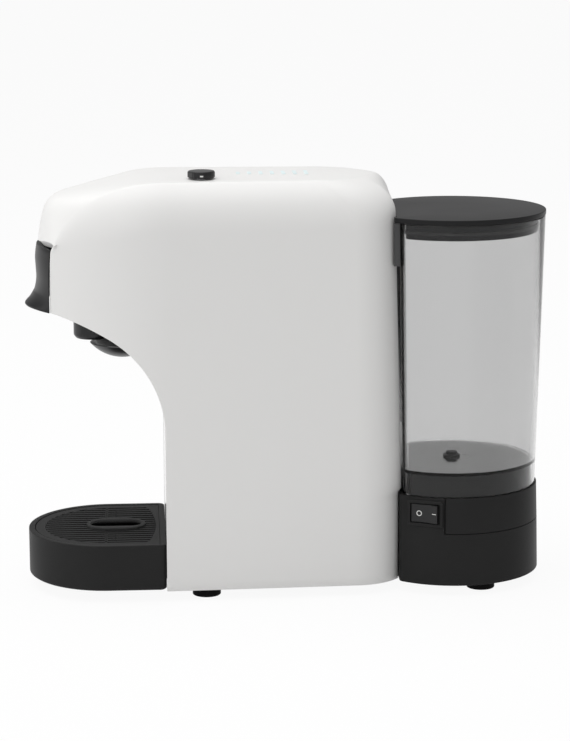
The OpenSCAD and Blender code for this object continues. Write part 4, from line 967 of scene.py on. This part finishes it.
points, sides = [], 144
for k, a in enumerate(spread(0, 2 * pi, sides)[:-1]):
    grip = -0.12 if k % 4 < 2 else 0
    for r, z in ((0.01, 0), (knob_r - 0.5, 0), (knob_r + grip, 0.4), (knob_r + grip, knob_height - 0.9),
                 (knob_r - 0.25, knob_height - 0.35), (knob_r - 0.7, knob_height - 0.05),
                 (knob_r - 1.2, knob_height), (0.01, knob_height)):
        points.append(at_knob(r, a, z))
knob = mesh_piece("selector_knob_cap", points, strip_faces(sides, 8, closed_columns=True), black_gloss)
fit_piece(knob, "knob", "black_plastic", "selector_knob")
points = []
for a in spread(-0.12, 0.12, 10):
    for r, z in ((-0.13, 1.1), (0.03, 1.1), (0.03, 1.9), (-0.13, 1.9)):
        points.append(at_knob(knob_r + r, a, z))
faces = strip_faces(11, 4, closed_rows=True) + [(0, 1, 2, 3), (40, 41, 42, 43)]
knob_mark = mesh_piece("selector_knob_mark", points, faces, white_print)
fit_piece(knob_mark, "knob", "black_plastic")

# ---------- Light bars ----------
# Seven light windows of frosted pale plastic in a row along the hood, each a little wider than the one in
# front of it. They are glued in from above and let the lamps of the board underneath shine through.
light_glow = moulded("frosted_light_window", (0.76, 0.87, 0.885), 0.35, grain=900, cloud=100, shade=0.05)


def light_tree(name, material):
    """A row of windows along the hood, each wider than the last."""
    tree, given = new_tree(name, False, Count=7, Pitch=0.0067, Width=0.009, Length=0.0022, Height=0.00025,
                           Growth=0.15)
    line = step(tree, "GeometryNodeMeshLine", {
        "Count": given["Count"], "Start Location": (0.0013, -0.0278, 0.247135),
        "Offset": vector(tree, Y=given["Pitch"])})
    size = vector(tree, X=given["Width"], Y=given["Length"], Z=given["Height"])
    window = step(tree, "GeometryNodeMeshCube", {"Size": size})
    growth = reckon(tree, "MULTIPLY", step(tree, "GeometryNodeInputIndex", {}), given["Growth"])
    scale = vector(tree, X=reckon(tree, "ADD", growth, 1.0), Y=1.0, Z=1.0)
    row = step(tree, "GeometryNodeInstanceOnPoints", {"Points": line, "Instance": window, "Scale": scale})
    end_tree(tree, row, material)
    return tree


light_windows = grown("hood_light_windows", light_tree("hood_lights", light_glow))
soften(light_windows, 0.08)
fit_piece(light_windows, "body", "light_window", "light_bars")

# ---------- Studio ----------
# A plain white table with a white surround, and three soft lamps. The camera looks at the right-hand side
# from a little above level.
def backdrop_white(name, fill):
    """Diffuse white that also glows to the camera, to gloss and through clear plastic."""
    material = bpy.data.materials.new(name)
    material.use_nodes = True
    tree = material.node_tree
    tree.nodes.clear()
    rays = tree.nodes.new("ShaderNodeLightPath").outputs
    either = reckon(tree, "MAXIMUM", rays["Is Camera Ray"], rays["Is Transmission Ray"])
    share = reckon(tree, "MULTIPLY", reckon(tree, "MAXIMUM", either, rays["Is Glossy Ray"]), fill)
    diffuse = step(tree, "ShaderNodeBsdfDiffuse", {"Color": (0.85, 0.85, 0.85, 1)})
    glow = step(tree, "ShaderNodeEmission", {"Color": (1, 1, 1, 1), "Strength": 1.0})
    mix = step(tree, "ShaderNodeMixShader", {0: share, 1: diffuse, 2: glow})
    feed(tree, tree.nodes.new("ShaderNodeOutputMaterial"), {"Surface": mix})
    return material


reach = 15000
corners = [(-reach, -reach, 0), (reach, -reach, 0), (reach, reach, 0), (-reach, reach, 0)]
mesh_piece("table_top", corners, [(0, 1, 2, 3)], backdrop_white("white_table", 0.93))

world = bpy.data.worlds.new("studio_room")
bpy.context.scene.world = world
world.use_nodes = True
tree = world.node_tree
feed(tree, tree.nodes["Background"], {"Color": (1, 1, 1, 1), "Strength": 0.45})
seen = step(tree, "ShaderNodeBackground", {"Color": (1, 1, 1, 1), "Strength": 1.0})
rays = tree.nodes.new("ShaderNodeLightPath").outputs
through = reckon(tree, "MAXIMUM", rays["Is Camera Ray"], rays["Is Transmission Ray"])
mix = step(tree, "ShaderNodeMixShader", {0: through, 1: tree.nodes["Background"].outputs[0], 2: seen})
feed(tree, tree.nodes["World Output"], {"Surface": mix})


def point_at(thing, place, aim):
    thing.location = place
    thing.rotation_euler = (Vector(aim) - Vector(place)).to_track_quat("-Z", "Y").to_euler()


def lamp(name, place, aim, size, power):
    light = bpy.data.lights.new(name, "AREA")
    light.shape = "RECTANGLE"
    light.size, light.size_y = size
    light.energy = power
    point_at(new_object(name, light), place, aim)


lamp("ceiling_lamp", (0, -0.25, 1.6), (0, 0, 0.12), (1.6, 1.6), 19)
lamp("side_lamp", (1.7, -0.9, 0.9), (0, 0, 0.12), (1.2, 1.2), 4.4)
lamp("front_lamp", (-0.1, -1.8, 0.4), (0, 0, 0.15), (1.0, 1.0), 7)

camera_data = bpy.data.cameras.new("camera")
camera_data.lens = 130.69
camera = new_object("camera", camera_data)
point_at(camera, (1.58009, -0.09111, 0.44364), (0, -0.0003, 0.1275))
camera_roll = -0.0042
camera.rotation_euler.rotate_axis("Z", camera_roll)
bpy.context.scene.camera = camera
bpy.context.scene.view_settings.view_transform = "Standard"
